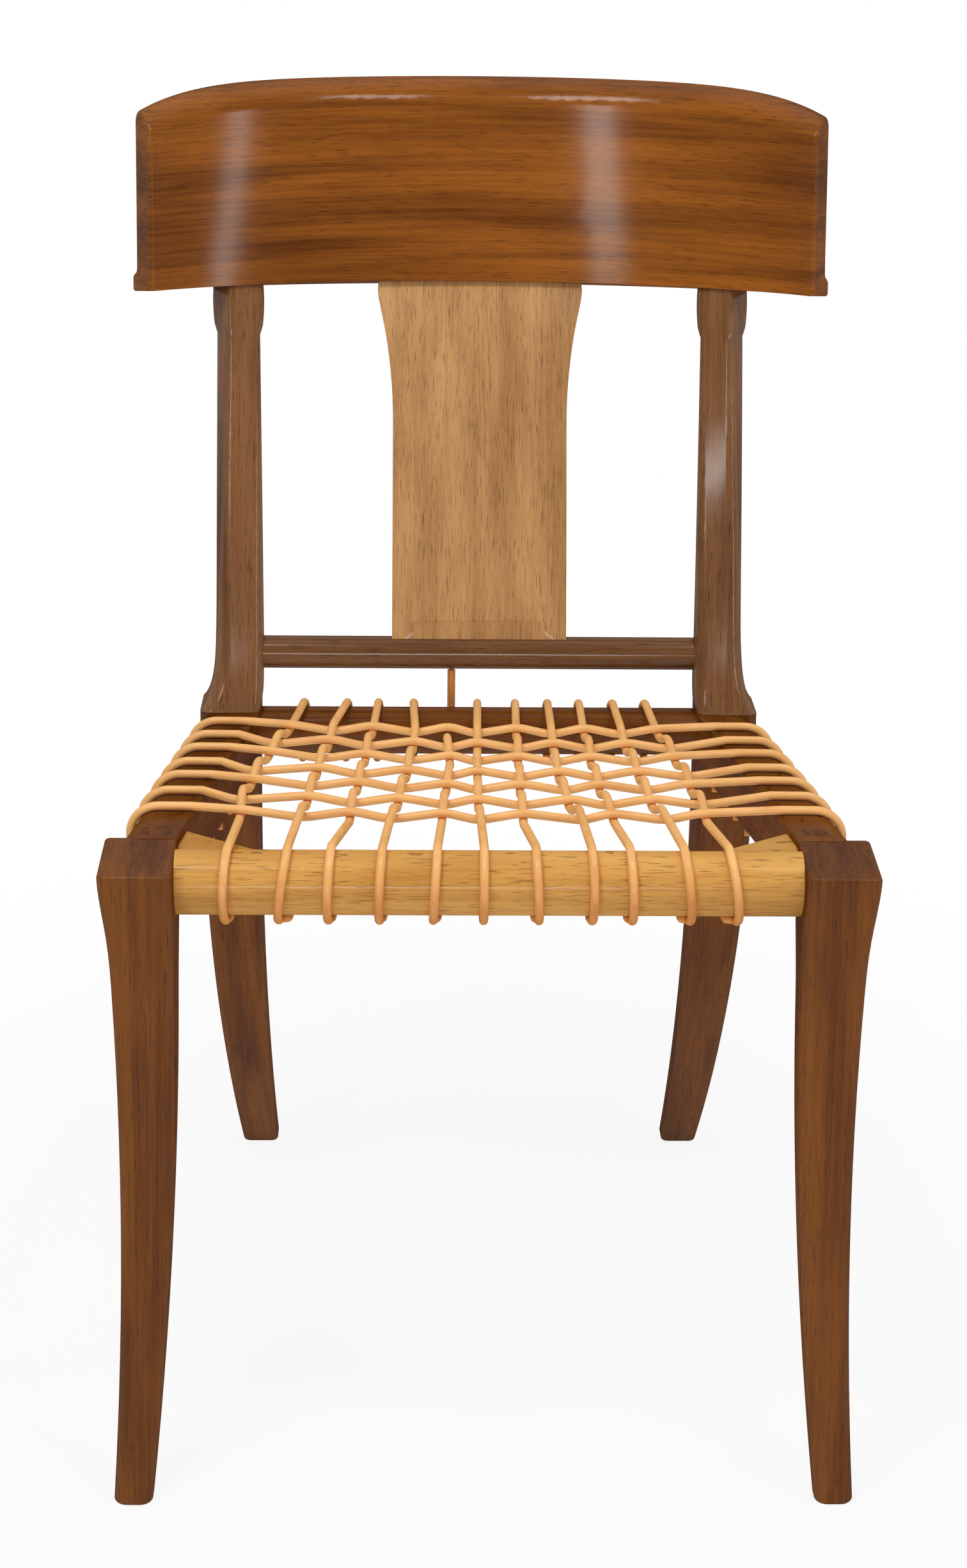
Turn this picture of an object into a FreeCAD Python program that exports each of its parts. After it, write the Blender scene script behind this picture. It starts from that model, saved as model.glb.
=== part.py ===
import FreeCAD, Part
import math
import os

# Klismos dining chair in lacquered wood, with a woven seat of leather cord.
# Millimetres, +Z up. The chair faces -Y, and left and right are as seen from in front of it.
# The origin is on the floor, in the middle of the chair's width and depth.

V = FreeCAD.Vector

# Plan of the seat frame: reaches are measured from the front and rear rails' axes.
FRONT_TOE_REACH = 77.0
SEAT_DEPTH = 367.5
REAR_TOE_REACH = 186.5
OVERALL_DEPTH = FRONT_TOE_REACH + SEAT_DEPTH + REAR_TOE_REACH
# The toes' rounding takes more off the rear legs' reach than off the front legs'.
CENTRE_SHIFT = 1.0
FRONT_RAIL_Y = FRONT_TOE_REACH - OVERALL_DEPTH / 2 + CENTRE_SHIFT
REAR_RAIL_Y = FRONT_RAIL_Y + SEAT_DEPTH

# Seat rails.
FRONT_RAIL_RADIUS = 21.5
FRONT_RAIL_TOP = 440.5
REAR_RAIL_RADIUS = 18.0
REAR_RAIL_TOP = 431.6
SIDE_RAIL_WIDTH = 41.0
SIDE_RAIL_HEIGHT = 42.0
SIDE_RAIL_OUTER_ROUND = 16.0
SIDE_RAIL_INNER_ROUND = 3.0
SIDE_RAIL_FRONT_TOP = 440.0
SIDE_RAIL_REAR_TOP = 432.0
SIDE_RAIL_REAR_INSET = 3.0
HAUNCH_REACH = 58.0
HAUNCH_DEPTH = 62.0
HAUNCH_TOP = 434.0
HAUNCH_HEIGHT = 28.0
HAUNCH_ROUND = 2.5

# Front legs, from the top of the head down to the toe.
FRONT_LEG_TOP = 441.0
HEAD_INNER_X = 206.0
HEAD_OUTER_X = 251.5
HEAD_FRONT = 37.0
HEAD_BACK = 30.0
HEAD_SLOPE_DROP = 5.0
HEAD_ROUND = 2.0
SHIN_BACK = 12.0
EAR = 2.5
EAR_FOOT_Z = 375.0
EAR_RISE = 30.0
BRACKET_FOOT_Z = 338.0
BRACKET_RISE = 58.0
FRONT_TOE_INNER_X = 224.0
FRONT_TOE_OUTER_X = 250.0
FRONT_TOE_LENGTH = 26.0
FRONT_OUTER_BOW = -7.3
FRONT_INNER_BOW = -7.0
FRONT_FACE_BOW = 11.0
FRONT_BACK_BOW = 10.0
FRONT_LEG_CORNERS = (4.0, 9.0)
TOE_ROUND = 3.0

# Rear legs and back posts meet in a joint just above the seat frame.
POST_JOINT_Z = 433.0
BLOCK_INNER_X = 166.5
BLOCK_OUTER_X = 212.0
BLOCK_FRONT = 20.5
BLOCK_BACK = 35.5
REAR_TOE_INNER_X = 163.5
REAR_TOE_OUTER_X = 192.5
REAR_TOE_LENGTH = 28.0
REAR_OUTER_BOW = 7.0
REAR_INNER_BOW = 3.2
REAR_FACE_BOW = -34.0
REAR_BACK_BOW = -36.0
REAR_LEG_CORNERS = (8.0, 6.0)

# Back posts: a stem that rounds out of the corner block and turns to follow the crest rail.
STEM_BASE_SIDE = 38.0
STEM_TOP_SIDE = 26.8
STEM_BASE_CORNER = 13.0
STEM_TOP_CORNER = 5.0
STEM_X = 182.3
STEM_TOP_X_SHIFT = 2.0
STEM_TURN = 30.0
FLARE_LENGTH = 14.0
COLLAR_FOOT_Z = 707.0
COLLAR_STEP = 6.0
COLLAR_SIDE = 29.5
COLLAR_BELLY = 1.2
COLLAR_CORNER = 3.5
COLLAR_SETBACK = 1.0

# Crest rail: its front face is an arc in plan, and its ends are cut at a slant.
CREST_HALF_WIDTH = 246.5
CREST_RADIUS = 367.0
CREST_END_TURN = 22.5
CREST_END_ROUND = 3.0
CREST_BOTTOM_Z = 741.0
CREST_BOTTOM_RISE = 4.5
CREST_TOP_Z = 891.0
CREST_SHOULDER_DROP = 18.0
CREST_SHOULDER_POWER = 7.5
CREST_FRONT = 115.0
CREST_LEAN = 0.20
CREST_END_LEAN = 0.14
CREST_THICKNESS = 30.0
CREST_ROLL = 20.0
CREST_FOOT_FLARE = 9.0
CREST_FOOT_HEIGHT = 19.0
CREST_LIP_HEIGHT = 10.0

# Lower back rod and splat.
ROD_RADIUS = 12.4
ROD_RISE = 40.5
ROD_BEHIND_RAIL = 12.5
ROD_TENON_RADIUS = 8.0
ROD_TENON_LENGTH = 14.0
SPLAT_HALF_NECK = 66.5
SPLAT_HALF_TOP = 77.7
SPLAT_FLARE_LENGTH = 87.0
SPLAT_STRAIGHT = 14.0
SPLAT_THICKNESS = 15.0
SPLAT_SETBACK = 13.0
SPLAT_BOW = -8.0
SPLAT_DISH = 8.0
SPLAT_FOOT_DISH = 0.3
SPLAT_TENON_HALF_WIDTH = 50.0
SPLAT_TENON_THICKNESS = 8.0
SPLAT_TENON_LENGTH = 16.0
ROD_MORTISE_DEPTH = 12.0

# Dowels that hold the frame.
DOWEL_RADIUS = 4.5
DOWEL_LENGTH = 34.0
DOWEL_CLEARANCE = 0.1
JOINT_CLEARANCE = 0.1
RAIL_DOWEL_SPACING = 16.0
SIDE_DOWEL_SPACING = 17.0
REAR_SIDE_DOWEL_DEPTH = 12.0
POST_DOWEL_INSET = 20.0
POST_DOWEL_OFFSETS = (-5.0, 11.0)

# How near an edge must lie to a named place to be the one that is rounded there.
EDGE_MARGIN = 1.0

# How many even steps the smooth pieces are drawn through.
FRONT_LEG_STATIONS = 14
REAR_LEG_STATIONS = 10
STEM_STATIONS = 20
CREST_STATIONS = 16
SPLAT_STATIONS = 16

# Seat cords: eleven run from front to back, and seven from side to side, over and under.
CORD_RADIUS = 3.0
CORD_GAP = 0.35
WEAVE_LIFT = CORD_RADIUS + CORD_GAP / 2
WEAVE_BEND = 13.0
SEAT_SAG = 3.5
WARP_WRAP_END = 20.0
WEFT_WRAP_END = 10.0
TAIL_TOP = 456.0
TAIL_WARP_NUMBER = 5
WARP_FRONT_X = (-173.5, -133.5, -102.5, -69.5, -33.5, -4.0, 29.0, 66.0, 90.0, 126.0, 160.0)
WARP_REAR_X = (-138.0, -104.0, -77.0, -47.0, -21.5, -2.0, 26.0, 50.0, 76.0, 101.0, 129.0)
# The side-to-side cords' ends, as shares of the seat's depth from the front rail.
WEFT_LEFT_SHARES = (0.857, 0.756, 0.661, 0.555, 0.463, 0.354, 0.248)
WEFT_RIGHT_SHARES = (0.827, 0.721, 0.626, 0.522, 0.430, 0.329, 0.234)

FRONT_RAIL_Z = FRONT_RAIL_TOP - FRONT_RAIL_RADIUS
REAR_RAIL_Z = REAR_RAIL_TOP - REAR_RAIL_RADIUS
HEAD_BACK_Y = FRONT_RAIL_Y + HEAD_BACK
BLOCK_FRONT_Y = REAR_RAIL_Y - BLOCK_FRONT
BLOCK_MIDDLE_Y = REAR_RAIL_Y + (BLOCK_BACK - BLOCK_FRONT) / 2
ROD_Y = REAR_RAIL_Y + ROD_BEHIND_RAIL
ROD_Z = REAR_RAIL_TOP + ROD_RISE
CREST_FRONT_Y = REAR_RAIL_Y + CREST_FRONT
SIDE_RAIL_FRONT_OUTER_X = HEAD_INNER_X + SIDE_RAIL_WIDTH
SIDE_RAIL_REAR_OUTER_X = BLOCK_OUTER_X - SIDE_RAIL_REAR_INSET


def bowed(start, end, bow, share):
    """A value that runs from start to end in a shallow bow of the given depth half way."""
    return start + (end - start) * share + 4 * bow * share * (1 - share)


def ramp(value, low, rise):
    """0 below low, 1 above low + rise, and even between."""
    return min(1.0, max(0.0, (value - low) / rise))


def even_shares(steps):
    """Shares from 0 to 1 in even steps, so that a smooth loft doesn't swing between them."""
    return [step / steps for step in range(steps + 1)]


def rounded_rectangle(low, high, z, corner, turn=0.0):
    """A level wire between two plan corners, with rounded corners, turned about its centre."""
    x_middle = (low[0] + high[0]) / 2
    y_middle = (low[1] + high[1]) / 2
    half_x = (high[0] - low[0]) / 2 - corner
    half_y = (high[1] - low[1]) / 2 - corner
    edges = []
    last = None
    first = None
    for quarter, (sx, sy) in enumerate(((1, 1), (-1, 1), (-1, -1), (1, -1))):
        points = []
        for step in range(3):
            angle = math.radians(90 * quarter + 45 * step)
            points.append(V(x_middle + sx * half_x + corner * math.cos(angle),
                            y_middle + sy * half_y + corner * math.sin(angle), z))
        if last is None:
            first = points[0]
        else:
            edges.append(Part.LineSegment(last, points[0]).toShape())
        edges.append(Part.Arc(*points).toShape())
        last = points[2]
    edges.append(Part.LineSegment(last, first).toShape())
    wire = Part.Wire(edges)
    wire.rotate(V(x_middle, y_middle, z), V(0, 0, 1), turn)
    return wire


def mirrored(shape):
    """The same piece on the other side of the chair."""
    return shape.mirror(V(0, 0, 0), V(1, 0, 0))


def box(low, high):
    """A box between two corners."""
    return Part.makeBox(high[0] - low[0], high[1] - low[1], high[2] - low[2], V(*low))


def rod_between(start, end, radius):
    """A round bar from one point to another."""
    return Part.makeCylinder(radius, (end - start).Length, start, end - start)


def fillet_where(shape, radius, wanted):
    """Rounds the edges whose bounding box passes a test."""
    return shape.makeFillet(radius, [edge for edge in shape.Edges if wanted(edge.BoundBox)])


# The frame's legs and posts, made for the right-hand side.

def front_leg():
    """A sabre leg whose head is the front corner of the seat frame."""
    sections = []
    for share in even_shares(FRONT_LEG_STATIONS):
        z = FRONT_LEG_TOP * (1 - share)
        outer = bowed(HEAD_OUTER_X, FRONT_TOE_OUTER_X, FRONT_OUTER_BOW, share)
        outer += EAR * ramp(z, EAR_FOOT_Z, EAR_RISE)
        inner = bowed(HEAD_INNER_X, FRONT_TOE_INNER_X, FRONT_INNER_BOW, share)
        front = bowed(-HEAD_FRONT, -FRONT_TOE_REACH, FRONT_FACE_BOW, share)
        toe_back = FRONT_TOE_LENGTH - FRONT_TOE_REACH
        back = bowed(SHIN_BACK, toe_back, FRONT_BACK_BOW, share)
        back += (HEAD_BACK - SHIN_BACK) * ramp(z, BRACKET_FOOT_Z, BRACKET_RISE) ** 2
        corner = bowed(*FRONT_LEG_CORNERS, 0.0, share)
        low = (inner, FRONT_RAIL_Y + front)
        high = (outer, FRONT_RAIL_Y + back)
        sections.append(rounded_rectangle(low, high, z, corner))
    leg = Part.makeLoft(sections, True, False)
    leg = leg.cut(head_slope())
    below_head = SIDE_RAIL_FRONT_TOP - HEAD_SLOPE_DROP - EDGE_MARGIN
    leg = fillet_where(leg, HEAD_ROUND, lambda b: b.ZMin > below_head)
    return fillet_where(leg, TOE_ROUND, lambda b: b.ZMax < 0.01)


def head_slope():
    """What is planed off the leg's head, so that its top falls towards the front."""
    head_length = HEAD_FRONT + HEAD_BACK
    behind = HEAD_BACK_Y + head_length
    ahead = HEAD_BACK_Y - 2 * head_length
    corners = (V(0, behind, SIDE_RAIL_FRONT_TOP), V(0, HEAD_BACK_Y, SIDE_RAIL_FRONT_TOP),
               V(0, ahead, SIDE_RAIL_FRONT_TOP - 2 * HEAD_SLOPE_DROP),
               V(0, ahead, FRONT_LEG_TOP + head_length),
               V(0, behind, FRONT_LEG_TOP + head_length))
    face = Part.Face(Part.makePolygon(corners + corners[:1]))
    return face.extrude(V(2 * HEAD_OUTER_X, 0, 0))


def rear_leg():
    """A sabre leg that sweeps back from the rear corner block."""
    sections = []
    for share in even_shares(REAR_LEG_STATIONS):
        z = POST_JOINT_Z * (1 - share)
        outer = bowed(BLOCK_OUTER_X, REAR_TOE_OUTER_X, REAR_OUTER_BOW, share)
        inner = bowed(BLOCK_INNER_X, REAR_TOE_INNER_X, REAR_INNER_BOW, share)
        front = bowed(-BLOCK_FRONT, REAR_TOE_REACH - REAR_TOE_LENGTH, REAR_FACE_BOW, share)
        back = bowed(BLOCK_BACK, REAR_TOE_REACH, REAR_BACK_BOW, share)
        corner = bowed(*REAR_LEG_CORNERS, 0.0, share)
        low = (inner, REAR_RAIL_Y + front)
        high = (outer, REAR_RAIL_Y + back)
        sections.append(rounded_rectangle(low, high, z, corner))
    leg = Part.makeLoft(sections, True, False)
    return fillet_where(leg, TOE_ROUND, lambda b: b.ZMax < 0.01)


def stem_centre(z):
    """Where the back post's middle line is at a height: it sweeps back to the crest rail."""
    share = (z - POST_JOINT_Z) / (CREST_BOTTOM_Z - POST_JOINT_Z)
    flare = math.exp(-(z - POST_JOINT_Z) / FLARE_LENGTH)
    block_middle_x = (BLOCK_INNER_X + BLOCK_OUTER_X) / 2
    x = STEM_X + (block_middle_x - STEM_X) * flare + STEM_TOP_X_SHIFT * share ** 2
    top_x = STEM_X + STEM_TOP_X_SHIFT
    inset = COLLAR_SETBACK + COLLAR_BELLY + COLLAR_SIDE / 2
    top_y = crest_front(top_x, CREST_BOTTOM_Z) + inset / math.cos(crest_slant(top_x))
    return x, BLOCK_MIDDLE_Y + (top_y - BLOCK_MIDDLE_Y) * share ** 1.5


def turned_square(z, width, depth, corner, turn):
    """A rounded section of the back post, about its middle line."""
    x, y = stem_centre(z)
    return rounded_rectangle((x - width / 2, y - depth / 2), (x + width / 2, y + depth / 2),
                             z, corner, turn)


def stem_turn(z):
    """How far the post's section has turned towards the crest rail's curve."""
    return -STEM_TURN * (z - POST_JOINT_Z) / (CREST_BOTTOM_Z - POST_JOINT_Z)


def back_post(crest):
    """Stem and collar of one back post, coped to the underside of the crest rail."""
    block_width = BLOCK_OUTER_X - BLOCK_INNER_X
    block_depth = BLOCK_FRONT + BLOCK_BACK
    block_corner = REAR_LEG_CORNERS[0]
    stem_top = COLLAR_FOOT_Z + COLLAR_STEP
    sections = []
    for share in even_shares(STEM_STATIONS):
        z = POST_JOINT_Z + (stem_top - POST_JOINT_Z) * share
        flare = math.exp(-(z - POST_JOINT_Z) / FLARE_LENGTH)
        side = STEM_BASE_SIDE + (STEM_TOP_SIDE - STEM_BASE_SIDE) * share
        width = side + (block_width - STEM_BASE_SIDE) * flare
        depth = side + (block_depth - STEM_BASE_SIDE) * flare
        corner = STEM_BASE_CORNER + (STEM_TOP_CORNER - STEM_BASE_CORNER) * share
        corner += (block_corner - STEM_BASE_CORNER) * flare
        sections.append(turned_square(z, width, depth, corner, stem_turn(z)))
    stem = Part.makeLoft(sections, True, False)
    return stem.fuse(collar()).removeSplitter().cut(crest)


def collar():
    """The small block under the crest rail, with a belly and a stepped foot."""
    foot = COLLAR_FOOT_Z
    top = crest_bottom(STEM_X + COLLAR_SIDE)
    neck = turned_square(foot, STEM_TOP_SIDE, STEM_TOP_SIDE, COLLAR_CORNER, stem_turn(foot))
    sections = []
    for share, side in ((0.0, COLLAR_SIDE), (0.35, COLLAR_SIDE + COLLAR_BELLY),
                        (0.65, COLLAR_SIDE + COLLAR_BELLY), (1.0, COLLAR_SIDE)):
        z = foot + COLLAR_STEP + (top - foot - COLLAR_STEP) * share
        sections.append(turned_square(z, side, side, COLLAR_CORNER, stem_turn(z)))
    block = Part.makeLoft(sections, True, False)
    return block.fuse(Part.makeLoft([neck, sections[0]], True, True))


# The crest rail.

def crest_slant(x):
    """Angle in plan between the crest rail's face and the chair's front, at x."""
    return math.asin(x / CREST_RADIUS)


def crest_turn(x):
    """Angle in plan of the section at x: straight back in the middle, splayed at the ends."""
    return math.radians(CREST_END_TURN) * x / CREST_HALF_WIDTH


def crest_lean(x):
    """How far the front face falls back for each millimetre of height, at x."""
    return CREST_LEAN + (CREST_END_LEAN - CREST_LEAN) * (x / CREST_HALF_WIDTH) ** 2


def crest_bottom(x):
    """Height of the crest rail's lower front edge."""
    return CREST_BOTTOM_Z + CREST_BOTTOM_RISE * (x / CREST_HALF_WIDTH) ** 2


def crest_front(x, z):
    """Depth of the crest rail's front face at a place on it."""
    forward = CREST_RADIUS * (1 - math.cos(crest_slant(x)))
    return CREST_FRONT_Y - forward + crest_lean(x) * (z - CREST_BOTTOM_Z)


def crest_point(x, z, inward):
    """The point that lies this far behind the front face, along the section at x."""
    turn = crest_turn(x)
    return V(x + inward * math.sin(turn), crest_front(x, z) + inward * math.cos(turn), z)


def curve_edge(*poles):
    """A smooth edge drawn from its control points."""
    curve = Part.BezierCurve()
    curve.setPoles(list(poles))
    return curve.toShape()


def quarter_roll(start, corner, end):
    """A quarter of an ellipse from start to end, inside the corner."""
    pull = 0.5523
    return curve_edge(start, start + (corner - start) * pull, end + (corner - end) * pull, end)


def crest_section(x):
    """The crest rail's section at x: rolled over at the top, with a lip at its back's foot."""
    stretch = 1 / math.cos(crest_slant(x) - crest_turn(x))
    thickness = CREST_THICKNESS * stretch
    roll = CREST_ROLL * stretch
    lip = thickness + CREST_FOOT_FLARE * stretch
    front_foot = crest_bottom(x)
    top = CREST_TOP_Z - CREST_SHOULDER_DROP * abs(x / CREST_HALF_WIDTH) ** CREST_SHOULDER_POWER
    roll_z = top - CREST_ROLL
    back_roll_z = top - (CREST_THICKNESS - CREST_ROLL)
    lip_foot = front_foot - lip * crest_lean(x)
    lip_top = lip_foot + CREST_LIP_HEIGHT
    lip_end = lip_foot + CREST_FOOT_HEIGHT
    lip_middle = (lip_top + lip_end) / 2
    front_low = crest_point(x, front_foot, 0)
    front_high = crest_point(x, roll_z, 0)
    crown = crest_point(x, top, roll)
    back_high = crest_point(x, back_roll_z, thickness)
    back_low = crest_point(x, lip_end, thickness)
    foot_high = crest_point(x, lip_top, lip)
    foot_low = crest_point(x, lip_foot, lip)
    edges = [Part.LineSegment(front_low, front_high).toShape(),
             quarter_roll(front_high, crest_point(x, top, 0), crown),
             quarter_roll(crown, crest_point(x, top, thickness), back_high),
             Part.LineSegment(back_high, back_low).toShape(),
             curve_edge(back_low, crest_point(x, lip_middle, thickness),
                        crest_point(x, lip_middle, lip), foot_high),
             Part.LineSegment(foot_high, foot_low).toShape(),
             Part.LineSegment(foot_low, front_low).toShape()]
    return Part.Wire(edges)


def crest_rail():
    """The deep curved tablet that the sitter leans on."""
    places = [CREST_HALF_WIDTH * (2 * share - 1) for share in even_shares(CREST_STATIONS)]
    tablet = Part.makeLoft([crest_section(x) for x in places], True, False)
    near_end = CREST_HALF_WIDTH - CREST_END_ROUND / 2
    return fillet_where(tablet, CREST_END_ROUND,
                        lambda b: b.XMin > near_end or b.XMax < -near_end)


# The rails.

def haunch():
    """The three-cornered shoulder at the right end of the front rail."""
    side = HEAD_INNER_X
    run_in = (SIDE_RAIL_FRONT_OUTER_X - SIDE_RAIL_REAR_OUTER_X) / (BLOCK_FRONT_Y - HEAD_BACK_Y)
    tip_x = side - run_in * (HAUNCH_DEPTH - HEAD_BACK)
    bottom = HAUNCH_TOP - HAUNCH_HEIGHT
    outline = (V(side, FRONT_RAIL_Y, bottom), V(side, HEAD_BACK_Y, bottom),
               V(tip_x, FRONT_RAIL_Y + HAUNCH_DEPTH, bottom),
               V(side - HAUNCH_REACH, FRONT_RAIL_Y + FRONT_RAIL_RADIUS - HAUNCH_ROUND, bottom),
               V(side - HAUNCH_REACH, FRONT_RAIL_Y, bottom))
    block = Part.Face(Part.makePolygon(outline + outline[:1])).extrude(V(0, 0, HAUNCH_HEIGHT))
    near_tip = FRONT_RAIL_Y + HAUNCH_DEPTH - EDGE_MARGIN
    return fillet_where(block, HAUNCH_ROUND,
                        lambda b: b.YMax > near_tip and b.XMin < tip_x - EDGE_MARGIN
                        and b.ZLength < EDGE_MARGIN)


def front_rail(leg_front):
    """The round front rail with its two haunches, coped to the legs' heads."""
    half = HEAD_INNER_X
    bar = rod_between(V(-half, FRONT_RAIL_Y, FRONT_RAIL_Z), V(half, FRONT_RAIL_Y, FRONT_RAIL_Z),
                      FRONT_RAIL_RADIUS)
    rail = bar.fuse([haunch(), mirrored(haunch())]).removeSplitter()
    return rail.cut(leg_front).cut(mirrored(leg_front))


def rear_rail(leg_rear, rail_side):
    """The round rear rail, which ends against the corner blocks."""
    half = (BLOCK_INNER_X + BLOCK_OUTER_X) / 2
    bar = rod_between(V(-half, REAR_RAIL_Y, REAR_RAIL_Z), V(half, REAR_RAIL_Y, REAR_RAIL_Z),
                      REAR_RAIL_RADIUS)
    for neighbour in (leg_rear, rail_side):
        bar = bar.cut(neighbour).cut(mirrored(neighbour))
    return bar


def side_rail_outer_x(y):
    """The outer face of the right side rail at a depth: the seat narrows towards the back."""
    share = (y - HEAD_BACK_Y) / (BLOCK_FRONT_Y - HEAD_BACK_Y)
    return SIDE_RAIL_FRONT_OUTER_X + (SIDE_RAIL_REAR_OUTER_X - SIDE_RAIL_FRONT_OUTER_X) * share


def side_rail_top(y):
    """The top of the side rails at a depth: the seat falls a little towards the back."""
    share = (y - HEAD_BACK_Y) / (BLOCK_FRONT_Y - HEAD_BACK_Y)
    return SIDE_RAIL_FRONT_TOP + (SIDE_RAIL_REAR_TOP - SIDE_RAIL_FRONT_TOP) * share


def side_rail_section(y):
    """The right side rail's section: rounded outside, where the cords go over it."""
    outer = side_rail_outer_x(y)
    inner = outer - SIDE_RAIL_WIDTH
    top = side_rail_top(y)
    bottom = top - SIDE_RAIL_HEIGHT
    corners = ((inner, bottom, SIDE_RAIL_INNER_ROUND, 180),
               (outer, bottom, SIDE_RAIL_OUTER_ROUND, 270),
               (outer, top, SIDE_RAIL_OUTER_ROUND, 0), (inner, top, SIDE_RAIL_INNER_ROUND, 90))
    edges = []
    ends = []
    for x, z, radius, angle in corners:
        centre_x = x - radius if x == outer else x + radius
        centre_z = z - radius if z == top else z + radius
        points = []
        for step in (0, 45, 90):
            turn = math.radians(angle + step)
            points.append(V(centre_x + radius * math.cos(turn), y,
                            centre_z + radius * math.sin(turn)))
        if ends:
            edges.append(Part.LineSegment(ends[-1], points[0]).toShape())
        edges.append(Part.Arc(*points).toShape())
        ends += [points[0], points[2]]
    edges.append(Part.LineSegment(ends[-1], ends[0]).toShape())
    return Part.Wire(edges)


def side_rail(leg_front, leg_rear):
    """The right side rail, coped to the front leg's head and to the rear corner block."""
    start = HEAD_BACK_Y - FRONT_LEG_CORNERS[0]
    end = BLOCK_FRONT_Y + REAR_LEG_CORNERS[0]
    rail = Part.makeLoft([side_rail_section(start), side_rail_section(end)], True, True)
    return rail.cut(leg_front).cut(leg_rear)


def lower_back_rod(post):
    """The round rod between the posts, coped to them and tenoned into them."""
    bar = rod_between(V(-STEM_X, ROD_Y, ROD_Z), V(STEM_X, ROD_Y, ROD_Z), ROD_RADIUS)
    bar = bar.cut(post).cut(mirrored(post))
    reach = STEM_X - STEM_BASE_SIDE / 2 + ROD_TENON_LENGTH
    tenon = rod_between(V(-reach, ROD_Y, ROD_Z), V(reach, ROD_Y, ROD_Z), ROD_TENON_RADIUS)
    return bar.fuse(tenon).removeSplitter()


def rod_socket():
    """The hole in the right post for the rod's tenon."""
    start = STEM_X - STEM_BASE_SIDE
    end = STEM_X - STEM_BASE_SIDE / 2 + ROD_TENON_LENGTH + JOINT_CLEARANCE
    return rod_between(V(start, ROD_Y, ROD_Z), V(end, ROD_Y, ROD_Z),
                       ROD_TENON_RADIUS + DOWEL_CLEARANCE)


# The splat.

def splat_middle(share):
    """Depth of the splat's middle line, from the rod to the crest rail."""
    return bowed(ROD_Y, CREST_FRONT_Y + SPLAT_SETBACK, SPLAT_BOW, share)


def splat_section(share):
    """A level section of the splat: flat at the rod and dished under the crest rail."""
    z = ROD_Z + (CREST_BOTTOM_Z - ROD_Z) * share
    flare_foot = CREST_BOTTOM_Z - SPLAT_STRAIGHT - SPLAT_FLARE_LENGTH
    flare = ramp(z, flare_foot, SPLAT_FLARE_LENGTH) ** 2
    half = SPLAT_HALF_NECK + (SPLAT_HALF_TOP - SPLAT_HALF_NECK) * flare
    middle = splat_middle(share)
    dish = SPLAT_FOOT_DISH + SPLAT_DISH * share ** 1.5
    front = middle - SPLAT_THICKNESS / 2
    back = middle + SPLAT_THICKNESS / 2
    points = (V(-half, front - dish, z), V(0, front, z), V(half, front - dish, z),
              V(half, back - dish, z), V(0, back, z), V(-half, back - dish, z))
    edges = [Part.Arc(points[0], points[1], points[2]).toShape(),
             Part.LineSegment(points[2], points[3]).toShape(),
             Part.Arc(points[3], points[4], points[5]).toShape(),
             Part.LineSegment(points[5], points[0]).toShape()]
    return Part.Wire(edges)


def splat_tenons(clearance):
    """The splat's upper and lower tenons, or with a clearance the mortises for them."""
    half = SPLAT_TENON_HALF_WIDTH + clearance
    thick = SPLAT_TENON_THICKNESS / 2 + clearance
    top_y = splat_middle(1.0)
    upper = box((-half, top_y - thick, CREST_BOTTOM_Z - SPLAT_THICKNESS / 2),
                (half, top_y + thick, CREST_BOTTOM_Z + SPLAT_TENON_LENGTH + clearance))
    lower = box((-half, ROD_Y - thick, ROD_Z + ROD_RADIUS - ROD_MORTISE_DEPTH - clearance),
                (half, ROD_Y + thick, ROD_Z + 2 * ROD_RADIUS))
    return upper, lower


def back_splat(crest):
    """The splat between the lower rod and the crest rail, coped to both."""
    sections = [splat_section(share) for share in even_shares(SPLAT_STATIONS)]
    board = Part.makeLoft(sections, True, False)
    round_bar = rod_between(V(-STEM_X, ROD_Y, ROD_Z), V(STEM_X, ROD_Y, ROD_Z), ROD_RADIUS)
    below = box((-STEM_X, ROD_Y - 2 * ROD_RADIUS, 0), (STEM_X, ROD_Y + 2 * ROD_RADIUS, ROD_Z))
    board = board.cut(round_bar).cut(below).cut(crest)
    return board.fuse(list(splat_tenons(0.0))).removeSplitter()


# The dowels.

def front_rail_dowels(grow=0.0):
    """Two dowels at each end of the front rail."""
    pieces = []
    for side in (-1, 1):
        for lift in (-0.5, 0.5):
            z = FRONT_RAIL_Z + lift * RAIL_DOWEL_SPACING
            half = DOWEL_LENGTH / 2 + grow
            pieces.append(rod_between(V(side * HEAD_INNER_X - half, FRONT_RAIL_Y, z),
                                      V(side * HEAD_INNER_X + half, FRONT_RAIL_Y, z),
                                      DOWEL_RADIUS + grow))
    return Part.makeCompound(pieces)


def rear_rail_dowels(grow=0.0):
    """Two dowels at each end of the rear rail."""
    pieces = []
    for side in (-1, 1):
        for lift in (-0.5, 0.5):
            z = REAR_RAIL_Z + lift * RAIL_DOWEL_SPACING
            half = DOWEL_LENGTH / 2 + grow
            pieces.append(rod_between(V(side * BLOCK_INNER_X - half, REAR_RAIL_Y, z),
                                      V(side * BLOCK_INNER_X + half, REAR_RAIL_Y, z),
                                      DOWEL_RADIUS + grow))
    return Part.makeCompound(pieces)


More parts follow.
